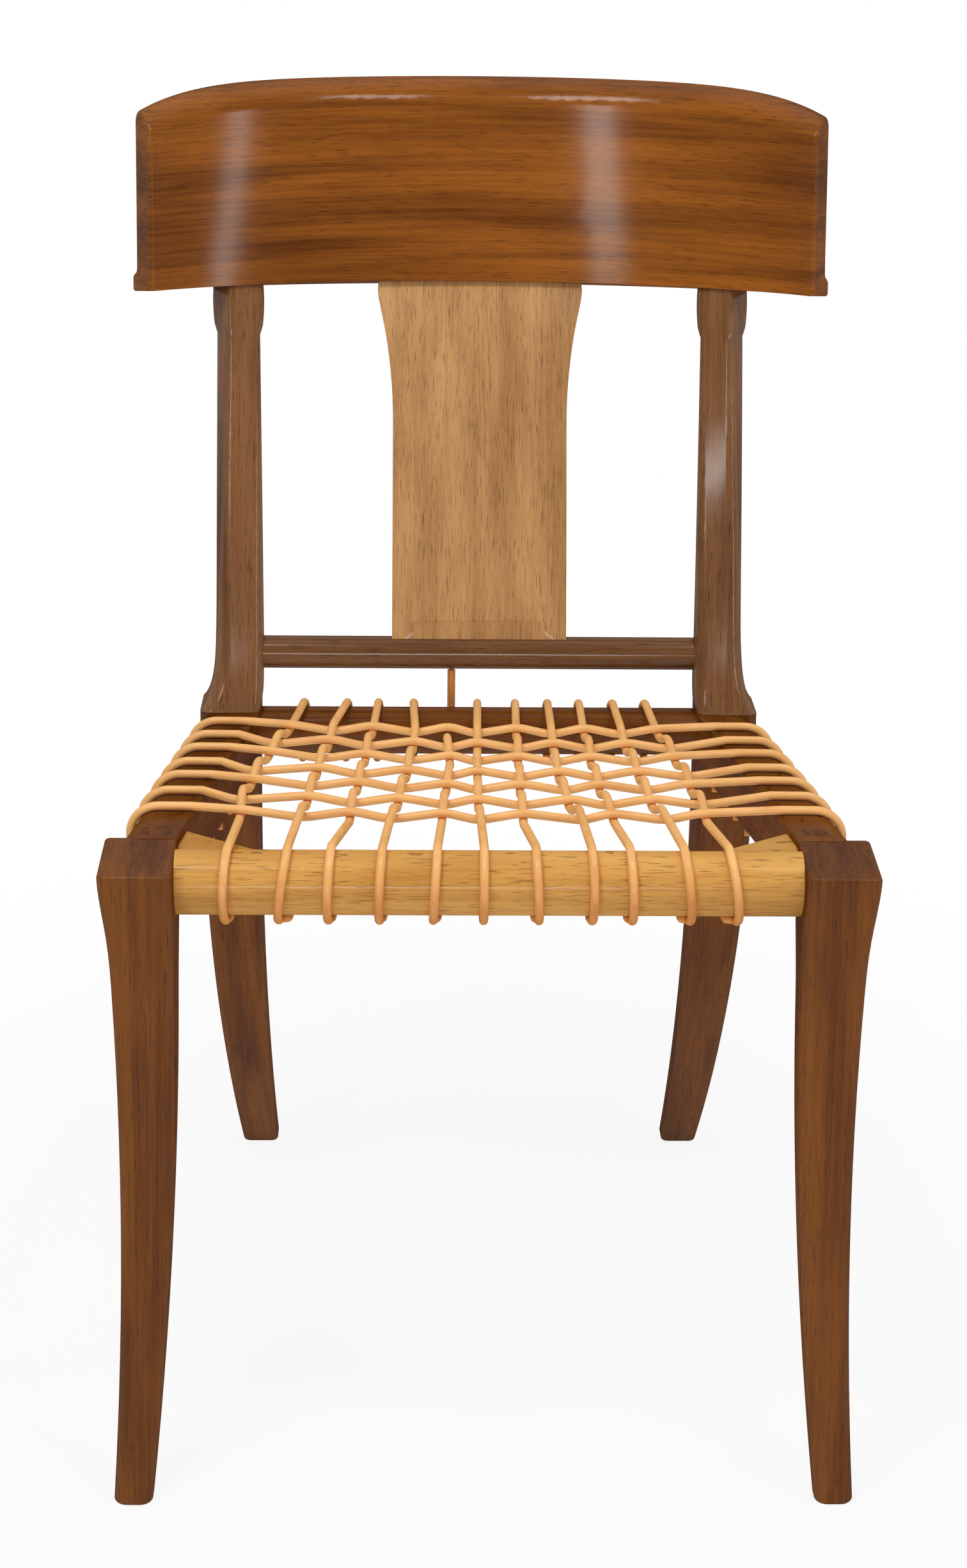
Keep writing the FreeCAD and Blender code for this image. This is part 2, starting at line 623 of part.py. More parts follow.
def side_rail_dowels(grow=0.0):
    """Two dowels at each end of each side rail."""
    pieces = []
    for side in (-1, 1):
        for y, back_end in ((HEAD_BACK_Y, False), (BLOCK_FRONT_Y, True)):
            middle_x = side_rail_outer_x(y) - SIDE_RAIL_WIDTH / 2
            z = side_rail_top(y) - SIDE_RAIL_HEIGHT / 2
            start = y - DOWEL_LENGTH / 2 - grow
            end = y + (REAR_SIDE_DOWEL_DEPTH if back_end else DOWEL_LENGTH / 2) + grow
            for step in (-0.5, 0.5):
                x = side * (middle_x + step * SIDE_DOWEL_SPACING)
                pieces.append(rod_between(V(x, start, z), V(x, end, z), DOWEL_RADIUS + grow))
    return Part.makeCompound(pieces)


def post_foot_dowels(grow=0.0):
    """Two upright dowels between each rear leg and its back post."""
    pieces = []
    for side in (-1, 1):
        for offset in POST_DOWEL_OFFSETS:
            x = side * (BLOCK_OUTER_X - POST_DOWEL_INSET)
            y = BLOCK_MIDDLE_Y + offset
            half = DOWEL_LENGTH / 2 + grow
            pieces.append(rod_between(V(x, y, POST_JOINT_Z - half), V(x, y, POST_JOINT_Z + half),
                                      DOWEL_RADIUS + grow))
    return Part.makeCompound(pieces)


def crest_dowels(grow=0.0):
    """One upright dowel between each back post and the crest rail."""
    pieces = []
    for side in (-1, 1):
        joint_z = crest_bottom(STEM_X)
        x, y = stem_centre(joint_z)
        half = DOWEL_LENGTH / 2 + grow
        pieces.append(rod_between(V(side * x, y, joint_z - half), V(side * x, y, joint_z + half),
                                  DOWEL_RADIUS + grow))
    return Part.makeCompound(pieces)


# The seat cords. Each lies in an upright plane, where it goes round a row of circles:
# the rails' round sides, and the cords that it passes over or under.

def turn_side(over):
    """1 where the cord passes above a circle, and -1 where it passes below."""
    return 1.0 if over else -1.0


def tangent_angle(first, second):
    """Angle of the line that leaves one circle and meets the next, each on its own side."""
    run = second[0] - first[0]
    rise = second[1] - first[1]
    distance = math.hypot(run, rise)
    spread = turn_side(second[3]) * second[2] - turn_side(first[3]) * first[2]
    return math.atan2(rise, run) + math.asin(spread / distance)


def side_point(circle, angle):
    """The point of a circle where a line at this angle touches it."""
    side = turn_side(circle[3]) * circle[2]
    return circle[0] - side * math.sin(angle), circle[1] + side * math.cos(angle)


def belt(circles, first_angle, last_angle):
    """The path round a row of circles: straight runs and arcs that meet without a kink."""
    angles = [first_angle]
    for first, second in zip(circles, circles[1:]):
        angles.append(tangent_angle(first, second))
    angles.append(last_angle)
    pieces = []
    for index, circle in enumerate(circles):
        start, end = angles[index], angles[index + 1]
        sweep = end - start
        parts = max(1, math.ceil(abs(sweep) / math.radians(110)))
        for part in range(parts):
            cuts = [start + sweep * (part + share) / parts for share in (0.0, 0.5, 1.0)]
            pieces.append([side_point(circle, cut) for cut in cuts])
        if index + 1 < len(circles):
            pieces.append([side_point(circle, end), side_point(circles[index + 1], end)])
    return pieces


def cord_tube(pieces, origin, direction, tail=None):
    """A round tube along a belt path, in the upright plane through origin and direction."""
    def place(point):
        return origin + direction * point[0] + V(0, 0, point[1])

    edges = []
    for piece in pieces:
        points = [place(point) for point in piece]
        curve = Part.LineSegment(*points) if len(points) == 2 else Part.Arc(*points)
        edges.append(curve.toShape())
    if tail is not None:
        end = place(pieces[-1][-1])
        edges.append(Part.LineSegment(end, V(end.x, end.y, tail)).toShape())
    path = Part.Wire(edges)
    first = edges[0]
    start = first.valueAt(first.FirstParameter)
    along = first.tangentAt(first.FirstParameter)
    ring = Part.Wire(Part.Circle(start, along, CORD_RADIUS).toShape())
    tube = path.makePipeShell([ring], True, False)
    expected = math.pi * CORD_RADIUS ** 2 * path.Length
    return tube, path.Length, tube.Volume / expected


def weft_ends(row):
    """How deep a side-to-side cord lies at its left and at its right end."""
    return (FRONT_RAIL_Y + WEFT_LEFT_SHARES[row] * SEAT_DEPTH,
            FRONT_RAIL_Y + WEFT_RIGHT_SHARES[row] * SEAT_DEPTH)


def weft_line(row):
    """Where a side-to-side cord starts and which way it runs, in plan."""
    left, right = weft_ends(row)
    half = side_rail_outer_x((left + right) / 2)
    start = V(-half, left, 0)
    return start, (V(half, right, 0) - start).normalize()


def warp_line(column):
    """Where a front-to-back cord starts and which way it runs, in plan."""
    start = V(WARP_FRONT_X[column], FRONT_RAIL_Y, 0)
    return start, (V(WARP_REAR_X[column], REAR_RAIL_Y, 0) - start).normalize()


def crossing(row, column):
    """How far along a weft and along a warp the two cross, and at what height."""
    weft_start, weft_way = weft_line(row)
    warp_start, warp_way = warp_line(column)
    gap = warp_start - weft_start
    scale = weft_way.x * warp_way.y - weft_way.y * warp_way.x
    along_weft = (gap.x * warp_way.y - gap.y * warp_way.x) / scale
    along_warp = (gap.x * weft_way.y - gap.y * weft_way.x) / scale
    place = warp_start + warp_way * along_warp
    return along_weft, along_warp, woven_height(place.x, place.y)


def woven_height(x, y):
    """Height of the weave's middle: level with the rails' tops, and a little sunk inside."""
    share = (y - FRONT_RAIL_Y) / SEAT_DEPTH
    rails = FRONT_RAIL_TOP + (REAR_RAIL_TOP - FRONT_RAIL_TOP) * share
    across = 1 - (x / HEAD_INNER_X) ** 2
    return rails - SEAT_SAG * across * 4 * share * (1 - share)


def weave_circle(along, height, over):
    """The circle that a cord bends round where it passes over or under another."""
    side = turn_side(over)
    return along, height + side * (WEAVE_LIFT - WEAVE_BEND), WEAVE_BEND, over


def is_weft_over(row, column):
    """Plain weave: every other crossing has the side-to-side cord on top."""
    return (row + column) % 2 == 0


def seat_warp(column):
    """One front-to-back cord. The one with a tail dives under the rear rail, clear of the last
    side-to-side cord, and stands up behind the rail."""
    start, way = warp_line(column)
    lead = CORD_RADIUS + CORD_GAP
    slope = 1 / abs(way.y)
    front = (0.0, FRONT_RAIL_Z, FRONT_RAIL_RADIUS * slope + lead, True)
    circles = [front]
    has_tail = column + 1 == TAIL_WARP_NUMBER
    for row in reversed(range(1 if has_tail else 0, len(WEFT_LEFT_SHARES))):
        along_weft, along_warp, height = crossing(row, column)
        circles.append(weave_circle(along_warp, height, not is_weft_over(row, column)))
    length = SEAT_DEPTH * slope
    circles.append((length, REAR_RAIL_Z, REAR_RAIL_RADIUS * slope + lead, not has_tail))
    first_angle = math.radians(180 + WARP_WRAP_END)
    last_angle = math.radians(90 if has_tail else -180 - WARP_WRAP_END)
    return cord_tube(belt(circles, first_angle, last_angle), start, way,
                     TAIL_TOP if has_tail else None)


def side_circles(rail_y, outer_along, inner_way):
    """The circles of one side rail that a side-to-side cord goes round, from below."""
    lead = CORD_RADIUS + CORD_GAP
    top = side_rail_top(rail_y)
    bottom = top - SIDE_RAIL_HEIGHT
    outer = outer_along + inner_way * SIDE_RAIL_OUTER_ROUND
    inner = outer_along + inner_way * (SIDE_RAIL_WIDTH - SIDE_RAIL_INNER_ROUND)
    return [(inner, bottom + SIDE_RAIL_INNER_ROUND, SIDE_RAIL_INNER_ROUND + lead, True),
            (outer, bottom + SIDE_RAIL_OUTER_ROUND, SIDE_RAIL_OUTER_ROUND + lead, True),
            (outer, top - SIDE_RAIL_OUTER_ROUND, SIDE_RAIL_OUTER_ROUND + lead, True),
            (inner, top - SIDE_RAIL_INNER_ROUND, SIDE_RAIL_INNER_ROUND + lead, True)]


def seat_weft(row):
    """One side-to-side cord."""
    start, way = weft_line(row)
    left, right = weft_ends(row)
    left_along = (-side_rail_outer_x(left) - start.x) / way.x
    right_along = (side_rail_outer_x(right) - start.x) / way.x
    circles = side_circles(left, left_along, 1)
    for column in range(len(WARP_FRONT_X)):
        along_weft, along_warp, height = crossing(row, column)
        circles.append(weave_circle(along_weft, height, is_weft_over(row, column)))
    circles += reversed(side_circles(right, right_along, -1))
    end_angle = math.radians(180 + WEFT_WRAP_END)
    return cord_tube(belt(circles, end_angle, -end_angle), start, way)


def build():
    """Every piece of the chair, by name."""
    leg_front = front_leg()
    leg_rear = rear_leg()
    crest = crest_rail()
    post = back_post(crest)
    rod = lower_back_rod(post)
    rail_side = side_rail(leg_front, leg_rear)
    upper_mortise, lower_mortise = splat_tenons(JOINT_CLEARANCE)
    grow = DOWEL_CLEARANCE
    front_holes = front_rail_dowels(grow)
    rear_holes = rear_rail_dowels(grow)
    side_holes = side_rail_dowels(grow)
    post_holes = post_foot_dowels(grow)
    crest_holes = crest_dowels(grow)
    pieces = {}
    right_pieces = {
        "front_leg": leg_front.cut(front_holes).cut(side_holes),
        "rear_leg": leg_rear.cut(rear_holes).cut(side_holes).cut(post_holes),
        "back_post": post.cut(rod_socket()).cut(post_holes).cut(crest_holes),
        "side_seat_rail": rail_side.cut(side_holes),
    }
    for name, shape in right_pieces.items():
        pieces[name + "_right"] = shape
        pieces[name + "_left"] = mirrored(shape)
    pieces["front_seat_rail"] = front_rail(leg_front).cut(front_holes)
    pieces["rear_seat_rail"] = rear_rail(leg_rear, rail_side).cut(rear_holes)
    pieces["lower_back_rod"] = rod.cut(lower_mortise)
    pieces["back_splat"] = back_splat(crest)
    pieces["crest_rail"] = crest.cut(upper_mortise).cut(crest_holes)
    pieces["front_rail_dowels"] = front_rail_dowels()
    pieces["rear_rail_dowels"] = rear_rail_dowels()
    pieces["side_rail_dowels"] = side_rail_dowels()
    pieces["post_foot_dowels"] = post_foot_dowels()
    pieces["crest_dowels"] = crest_dowels()
    for column in range(len(WARP_FRONT_X)):
        name = "seat_warp_%02d" % (column + 1)
        pieces[name], length, fill = seat_warp(column)
        print(name, "length %.0f mm, volume over section times length %.4f" % (length, fill))
    for row in range(len(WEFT_LEFT_SHARES)):
        name = "seat_weft_%02d" % (row + 1)
        pieces[name], length, fill = seat_weft(row)
        print(name, "length %.0f mm, volume over section times length %.4f" % (length, fill))
    return pieces


def main():
    os.makedirs("parts", exist_ok=True)
    for name, shape in build().items():
        print(name, "solids", len(shape.Solids), "valid", shape.isValid(),
              "volume %.1f cm3" % (shape.Volume / 1000))
        shape.exportStep("parts/%s.step" % name)


main()
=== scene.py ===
import math

import bmesh
import bpy
import numpy as np
from mathutils import Matrix, Vector


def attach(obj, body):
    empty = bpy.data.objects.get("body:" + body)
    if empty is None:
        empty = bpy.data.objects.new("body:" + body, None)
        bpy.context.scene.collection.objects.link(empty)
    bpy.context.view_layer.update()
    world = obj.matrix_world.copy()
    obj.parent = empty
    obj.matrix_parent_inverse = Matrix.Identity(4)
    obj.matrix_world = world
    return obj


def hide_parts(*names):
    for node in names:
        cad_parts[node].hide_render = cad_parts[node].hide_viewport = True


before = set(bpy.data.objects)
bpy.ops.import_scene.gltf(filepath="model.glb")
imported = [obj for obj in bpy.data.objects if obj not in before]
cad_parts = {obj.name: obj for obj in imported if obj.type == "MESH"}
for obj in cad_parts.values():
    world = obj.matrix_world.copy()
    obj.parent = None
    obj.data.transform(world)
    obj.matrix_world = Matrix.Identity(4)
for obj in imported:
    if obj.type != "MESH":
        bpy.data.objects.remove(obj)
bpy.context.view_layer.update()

bl_info = {
    "name": "Klismos chair",
    "version": (1, 0, 0),
    "blender": (4, 5, 0),
    "location": "3D View > Sidebar > Klismos",
    "description": "Dresses a klismos dining chair: walnut frame and woven leather cord seat",
    "category": "Object",
}

MM = 0.001

# The photograph's height and centre in pixels, and the viewpoint that fits it.
PHOTO_HEIGHT = 2451
FOCAL_PIXELS = 4995.9
CENTRE_RIGHT_PIXELS = 0.7
CENTRE_DOWN_PIXELS = 7.3
SENSOR_WIDTH = 36.0
CAMERA_PLACE = (-0.0523, -2.2205, 1.1174)
CAMERA_PITCH = 17.708
CAMERA_YAW = -1.392
CAMERA_ROLL = 0.662

# The seat frame that the cords go round, in millimetres.
FRONT_RAIL_Y = -237.5
SEAT_DEPTH = 367.5
REAR_RAIL_Y = FRONT_RAIL_Y + SEAT_DEPTH
FRONT_RAIL_RADIUS = 21.5
FRONT_RAIL_TOP = 440.5
REAR_RAIL_RADIUS = 18.0
REAR_RAIL_TOP = 431.6
SIDE_RAIL_WIDTH = 41.0
SIDE_RAIL_HEIGHT = 42.0
SIDE_RAIL_OUTER_ROUND = 16.0
SIDE_RAIL_INNER_ROUND = 3.0
SIDE_RAIL_FRONT = (-207.5, 247.0, 440.0)
SIDE_RAIL_REAR = (109.5, 209.0, 432.0)
SEAT_HALF_WIDTH = 206.0

# The cords, in millimetres: how they weave, and where each one crosses the rails. The lift
# share is the side-to-side cord's part of the way that the two cords make for each other, and
# the bend share is how far its bends fill the space between two crossings.
CORD_GAP = 0.35
WEFT_LIFT_SHARE = 0.34
BEND_SHARE = 0.78
SEAT_SAG = 3.5
# Degrees that each cord goes on round the rails' undersides, and between points of its arcs.
WARP_WRAP_END = 20.0
WEFT_WRAP_END = 10.0
ARC_STEP = 6.0
# A crossing is worked out again this many times, as each cord strays from its straight line.
CROSSING_ROUNDS = 4
# How far each front-to-back cord leans outwards as it goes round the front rail.
WARP_LEAN = (-1.1, -5.4, -1.4, -1.4, -2.3, 0.0, 2.3, 0.6, 2.0, 4.3, 5.7)
TAIL_TOP = 456.0
TAIL_WARP_NUMBER = 5
# The pattern of the cords' unevenness: the first front-to-back and the first side-to-side
# cord's numbers, and how many metres the pattern shifts from one number to the next.
WARP_SEED = 1
WEFT_SEED = 21
SEED_STEP = 7.3
WARP_FRONT_X = (-173.5, -133.5, -102.5, -69.5, -33.5, -4.0, 29.0, 66.0, 90.0, 126.0, 160.0)
WARP_REAR_X = (-138.0, -104.0, -77.0, -47.0, -21.5, -2.0, 26.0, 50.0, 76.0, 101.0, 129.0)
WEFT_LEFT_SHARES = (0.857, 0.756, 0.661, 0.555, 0.463, 0.354, 0.248)
WEFT_RIGHT_SHARES = (0.827, 0.721, 0.626, 0.522, 0.430, 0.329, 0.234)
# How far each front-to-back cord strays to the right of its straight line, at even steps.
WARP_STRAY = (
    (2.5, -3.0, -8.0, -7.0, -2.0, 4.0),
    (1.5, 0.5, -1.0, -2.0, -1.5, 3.0),
    (-1.0, 3.0, 1.5, 1.0, 0.0, 0.0),
    (-0.5, 0.0, 1.0, 2.5, 2.5, -3.0),
    (-0.5, 0.0, 1.0, 3.0, -1.0, 0.0),
    (0.5, -1.0, -1.5, -1.0, 0.0, 1.0),
    (1.5, -3.0, -2.5, -1.0, 0.5, 2.0),
    (1.0, 2.0, -3.0, -3.0, 0.0, 3.0),
    (2.0, 1.0, -2.0, -2.0, 0.0, 1.0),
    (1.5, 0.5, -2.0, -0.5, -0.5, 2.0),
    (-3.0, -2.0, 0.0, 1.0, 0.0, -1.0),
)

# Which way the grain runs in each wooden piece: the axis it follows, then the two across it.
GRAIN_AXES = {
    "front_leg_left": (2, 0, 1),
    "front_leg_right": (2, 0, 1),
    "rear_leg_left": (2, 0, 1),
    "rear_leg_right": (2, 0, 1),
    "back_post_left": (2, 0, 1),
    "back_post_right": (2, 0, 1),
    "side_seat_rail_left": (1, 2, 0),
    "side_seat_rail_right": (1, 2, 0),
    "front_seat_rail": (0, 2, 1),
    "rear_seat_rail": (0, 2, 1),
    "lower_back_rod": (0, 2, 1),
    "back_splat": (2, 0, 1),
    "crest_rail": (0, 2, 1),
}
DOWEL_NODES = ("front_rail_dowels", "rear_rail_dowels", "side_rail_dowels", "post_foot_dowels",
               "crest_dowels")
CREST_RADIUS = 0.367
# How far the grain's pattern shifts from one piece to the next, in metres.
GRAIN_SHIFT = (0.37, 0.11, 0.23)
PORE_COLOUR = (0.02, 0.008, 0.004, 1)
# Pale colour of the arrises: partly bare wood where the lacquer is worn, partly a painted highlight
# on the edges.
BARE_WOOD_AND_HIGHLIGHT_COLOUR = (0.85, 0.72, 0.56, 1)
SCUFFED_LEATHER_COLOUR = (0.9, 0.7, 0.46, 1)
COAT_ROUGHNESS = 0.15
COAT_IOR = 1.45
LEATHER_COAT_ROUGHNESS = 0.25
BUMP_DEPTH = 0.3 * MM
WOOD_BUMP_STRENGTH = 0.12
LEATHER_BUMP_STRENGTH = 0.25
DOWEL_ROUGHNESS = 0.6
FLECK_SCALE = (300.0, 300.0, 300.0)
# Each wooden finish: how strong its gloss is, and how pale its arrises are painted, as worn lacquer
# and as a painted highlight on the edges.
CREST_FINISH = (0.45, 0.4)
LEG_FINISH = (0.35, 0.9)
POST_FINISH = (0.6, 0.4)
RAIL_FINISH = (0.25, 0.3)
SPLAT_FINISH = (0.25, 0.5)
ARRIS_WIDTH = 0.8 * MM
LEG_ARRIS_WIDTH = 1.3 * MM
ARRIS_SEGMENTS = 2
# Faces that differ by less than the flat angle are joined, and edges over the sharp one eased.
FLAT_ANGLE = 0.02
SHARP_ANGLE = 46.0
JOIN_DISTANCE = 0.01 * MM
SLIVER_LENGTH = 0.005 * MM

# The stage, in metres and watts: the floor, and each lamp's place, aim, size and power.
FLOOR_REACH = 25.0
FLOOR_ROUGHNESS = 0.7
FLOOR_GLOSS = 0.1
SEAT_MIDDLE = (0.0, 0.0, 0.45)
LAMPS = (
    ("strip_left", (-1.2, -2.2, 1.7), SEAT_MIDDLE, (0.34, 0.8), 10.0),
    ("strip_right", (2.2, -1.15, 1.0), SEAT_MIDDLE, (0.2, 1.1), 7.0),
    ("top_left", (-0.6, -0.85, 2.5), SEAT_MIDDLE, (0.7, 0.5), 15.0),
    ("top_right", (0.7, -0.85, 2.5), SEAT_MIDDLE, (0.6, 0.4), 10.0),
    ("front_low", (0.0, -4.4, 0.55), (0.0, 0.0, 0.1), (0.9, 0.35), 24.0),
)


class WoodSettings(bpy.types.PropertyGroup):
    """Colours and finish of the lacquered walnut."""

    crest_light: bpy.props.FloatVectorProperty(
        name="Crest light", description="Lighter grain of the crest rail",
        default=(0.34, 0.107, 0.013), subtype="COLOR", min=0, max=1)
    crest_dark: bpy.props.FloatVectorProperty(
        name="Crest dark", description="Darker grain of the crest rail",
        default=(0.10, 0.027, 0.004), subtype="COLOR", min=0, max=1)
    leg_light: bpy.props.FloatVectorProperty(
        name="Leg light", description="Lighter grain of the legs and the darker rails",
        default=(0.23, 0.074, 0.011), subtype="COLOR", min=0, max=1)
    leg_dark: bpy.props.FloatVectorProperty(
        name="Leg dark", description="Darker grain of the legs and the darker rails",
        default=(0.085, 0.023, 0.004), subtype="COLOR", min=0, max=1)
    post_light: bpy.props.FloatVectorProperty(
        name="Post light", description="Lighter grain of the back posts and the lower rod",
        default=(0.26, 0.115, 0.045), subtype="COLOR", min=0, max=1)
    post_dark: bpy.props.FloatVectorProperty(
        name="Post dark", description="Darker grain of the back posts and the lower rod",
        default=(0.11, 0.045, 0.016), subtype="COLOR", min=0, max=1)
    rail_light: bpy.props.FloatVectorProperty(
        name="Rail light", description="Lighter grain of the front rail",
        default=(0.76, 0.41, 0.11), subtype="COLOR", min=0, max=1)
    rail_dark: bpy.props.FloatVectorProperty(
        name="Rail dark", description="Darker grain of the front rail",
        default=(0.50, 0.23, 0.05), subtype="COLOR", min=0, max=1)
    splat_light: bpy.props.FloatVectorProperty(
        name="Splat light", description="Lighter grain of the splat",
        default=(0.58, 0.32, 0.13), subtype="COLOR", min=0, max=1)
    splat_dark: bpy.props.FloatVectorProperty(
        name="Splat dark", description="Darker grain of the splat",
        default=(0.33, 0.16, 0.06), subtype="COLOR", min=0, max=1)
    dowel_light: bpy.props.FloatVectorProperty(
        name="Dowel light", description="Lighter grain of the beech dowels",
        default=(0.62, 0.42, 0.24), subtype="COLOR", min=0, max=1)
    dowel_dark: bpy.props.FloatVectorProperty(
        name="Dowel dark", description="Darker grain of the beech dowels",
        default=(0.42, 0.25, 0.13), subtype="COLOR", min=0, max=1)


class CordSettings(bpy.types.PropertyGroup):
    """Size and colours of the leather cord."""

    radius: bpy.props.FloatProperty(
        name="Radius", description="Radius of the cord", default=3.0 * MM,
        min=1.0 * MM, max=6.0 * MM, subtype="DISTANCE", unit="LENGTH")
    step: bpy.props.FloatProperty(
        name="Step", description="Distance between the cord's rings", default=1.6 * MM,
        min=0.5 * MM, max=10.0 * MM, subtype="DISTANCE", unit="LENGTH")
    sides: bpy.props.IntProperty(
        name="Sides", description="Number of sides of the cord's section", default=14,
        min=6, max=32)
    unevenness: bpy.props.FloatProperty(
        name="Unevenness", description="How far the hand-cut cord swells and narrows",
        default=0.05, min=0, max=0.2, subtype="FACTOR")
    light: bpy.props.FloatVectorProperty(
        name="Light leather", description="Colour of the cord where it is clean",
        default=(0.95, 0.52, 0.19), subtype="COLOR", min=0, max=1)
    # The dark leather colour gives the cord's uneven tone, and the painted shade towards its ends
    # where it wraps under the rails.
    dark: bpy.props.FloatVectorProperty(
        name="Dark leather", description="Colour of the cord where it is handled and dirty",
        default=(0.66, 0.25, 0.055), subtype="COLOR", min=0, max=1)


class StageSettings(bpy.types.PropertyGroup):
    """The floor and the soft studio light."""

    floor_colour: bpy.props.FloatVectorProperty(
        name="Floor", description="Colour of the studio floor", default=(0.9, 0.9, 0.9),
        subtype="COLOR", min=0, max=1)
    ambient: bpy.props.FloatProperty(
        name="Ambient", description="Strength of the even light from all round", default=0.38,
        min=0, max=2)


# Small helpers.

def add_mesh(name, vertices, edges, faces):
    """A new object from plain lists."""
    mesh = bpy.data.meshes.new(name)
    mesh.from_pydata(vertices, edges, faces)
    mesh.update()
    piece = bpy.data.objects.new(name, mesh)
    bpy.context.scene.collection.objects.link(piece)
    return piece


def add_node(tree, kind, **settings):
    """A node of a tree, with its settings made."""
    node = tree.nodes.new(kind)
    for key, value in settings.items():
        setattr(node, key, value)
    return node


def feed(tree, source, node, socket):
    """Links a socket to a node's input, or sets the input where the source is a plain value."""
    target = node.inputs[socket]
    if isinstance(source, bpy.types.NodeSocket):
        tree.links.new(source, target)
    else:
        target.default_value = source


def math_node(tree, operation, *values):
    """A Math node's result."""
    node = add_node(tree, "ShaderNodeMath", operation=operation)
    for index, value in enumerate(values):
        feed(tree, value, node, index)
    return node.outputs[0]


def map_range(tree, value, low, high, to_low=0.0, to_high=1.0):
    """The value carried from one range to another, and held at its ends."""
    node = add_node(tree, "ShaderNodeMapRange", interpolation_type="SMOOTHSTEP")
    for socket, item in enumerate((value, low, high, to_low, to_high)):
        feed(tree, item, node, socket)
    return node.outputs[0]


def mix_colour(tree, share, first, second):
    """Two colours mixed by a share."""
    node = add_node(tree, "ShaderNodeMix", data_type="RGBA")
    feed(tree, share, node, 0)
    feed(tree, first, node, 6)
    feed(tree, second, node, 7)
    return node.outputs[2]


def noise_value(tree, vector, scale, detail=2.0, distortion=0.0, roughness=0.5):
    """Smooth noise at a scale, between 0 and 1."""
    node = add_node(tree, "ShaderNodeTexNoise")
    feed(tree, vector, node, "Vector")
    node.inputs["Scale"].default_value = scale
    node.inputs["Detail"].default_value = detail
    node.inputs["Distortion"].default_value = distortion
    node.inputs["Roughness"].default_value = roughness
    return node.outputs[0]


def scaled(tree, vector, stretch):
    """A vector with each part multiplied."""
    node = add_node(tree, "ShaderNodeVectorMath", operation="MULTIPLY")
    feed(tree, vector, node, 0)
    feed(tree, stretch, node, 1)
    return node.outputs[0]


def new_group(name, kind, inputs, outputs):
    """A node group with named sockets, and its input and output nodes."""
    tree = bpy.data.node_groups.new(name, kind)
    for label, socket, default in inputs:
        item = tree.interface.new_socket(name=label, in_out="INPUT", socket_type=socket)
        if default is not None:
            item.default_value = default
    for label, socket in outputs:
        tree.interface.new_socket(name=label, in_out="OUTPUT", socket_type=socket)
    return tree, tree.nodes.new("NodeGroupInput"), tree.nodes.new("NodeGroupOutput")


# Shader groups.

def build_grain_group():
    """Walnut figure: broad tone, fine streaks, and dark pores, along the grain's first axis."""
    tree, given, result = new_group(
        "walnut_grain", "ShaderNodeTree",
        (("Grain", "NodeSocketVector", None), ("Light", "NodeSocketColor", (0.3, 0.1, 0.04, 1)),
         ("Dark", "NodeSocketColor", (0.1, 0.04, 0.02, 1))),
        (("Color", "NodeSocketColor"), ("Height", "NodeSocketFloat")))
    grain = given.outputs["Grain"]
    broad = noise_value(tree, scaled(tree, grain, (3.0, 34.0, 8.0)), 1.0, 3.0, 0.6)
    cloud = noise_value(tree, scaled(tree, grain, (7.0, 14.0, 6.0)), 1.0, 2.0, 0.4)
    streak = noise_value(tree, scaled(tree, grain, (7.0, 420.0, 40.0)), 1.0, 3.0, 0.3)
    pores = noise_value(tree, scaled(tree, grain, (60.0, 1500.0, 120.0)), 1.0, 1.0)
    tone = map_range(tree, broad, 0.3, 0.7)
    tone = math_node(tree, "MULTIPLY_ADD", map_range(tree, streak, 0.35, 0.68), 0.38, tone)
    tone = math_node(tree, "MULTIPLY_ADD", map_range(tree, cloud, 0.3, 0.7), 0.3, tone)
    tone = math_node(tree, "MULTIPLY", tone, 0.62)
    colour = mix_colour(tree, tone, given.outputs["Light"], given.outputs["Dark"])
    pore_mask = map_range(tree, pores, 0.60, 0.68)
    pore_share = math_node(tree, "MULTIPLY", pore_mask, 0.45)
    colour = mix_colour(tree, pore_share, colour, PORE_COLOUR)
    tree.links.new(colour, result.inputs["Color"])
    tree.links.new(math_node(tree, "MULTIPLY", streak, 0.5), result.inputs["Height"])


def build_wear_and_edge_highlight_group():
    """Worn lacquer and painted highlight: a pale line along the arrises, partly wear and partly a
    painted highlight, and a haze that dulls the gloss in patches.
    """
    tree, given, result = new_group(
        "lacquer_wear_and_edge_highlight", "ShaderNodeTree",
        (("Color", "NodeSocketColor", (0.3, 0.1, 0.04, 1)), ("Edge", "NodeSocketFloat", 0.0),
         ("Amount", "NodeSocketFloat", 0.5)),
        (("Color", "NodeSocketColor"), ("Roughness", "NodeSocketFloat")))
    place = add_node(tree, "ShaderNodeTexCoord").outputs["Object"]
    patches = noise_value(tree, place, 38.0, 4.0, 0.5, 0.6)
    fine = noise_value(tree, place, 420.0, 2.0)
    reach = math_node(tree, "MULTIPLY", given.outputs["Edge"], map_range(tree, patches, 0.38, 0.58))
    reach = math_node(tree, "MULTIPLY", reach, map_range(tree, fine, 0.35, 0.6, 0.4, 1.0))
    pale_edge_amount = math_node(tree, "MULTIPLY", reach, given.outputs["Amount"])
    # The pale arris line is partly worn lacquer and partly a painted highlight on the edges.
    pale = mix_colour(tree, pale_edge_amount, given.outputs["Color"], BARE_WOOD_AND_HIGHLIGHT_COLOUR)
    haze = noise_value(tree, place, 14.0, 3.0, 0.2)
    smudge = map_range(tree, haze, 0.35, 0.75, 0.16, 0.30)
    rough = math_node(tree, "MULTIPLY_ADD", pale_edge_amount, 0.3, smudge)
    tree.links.new(pale, result.inputs["Color"])
    tree.links.new(rough, result.inputs["Roughness"])


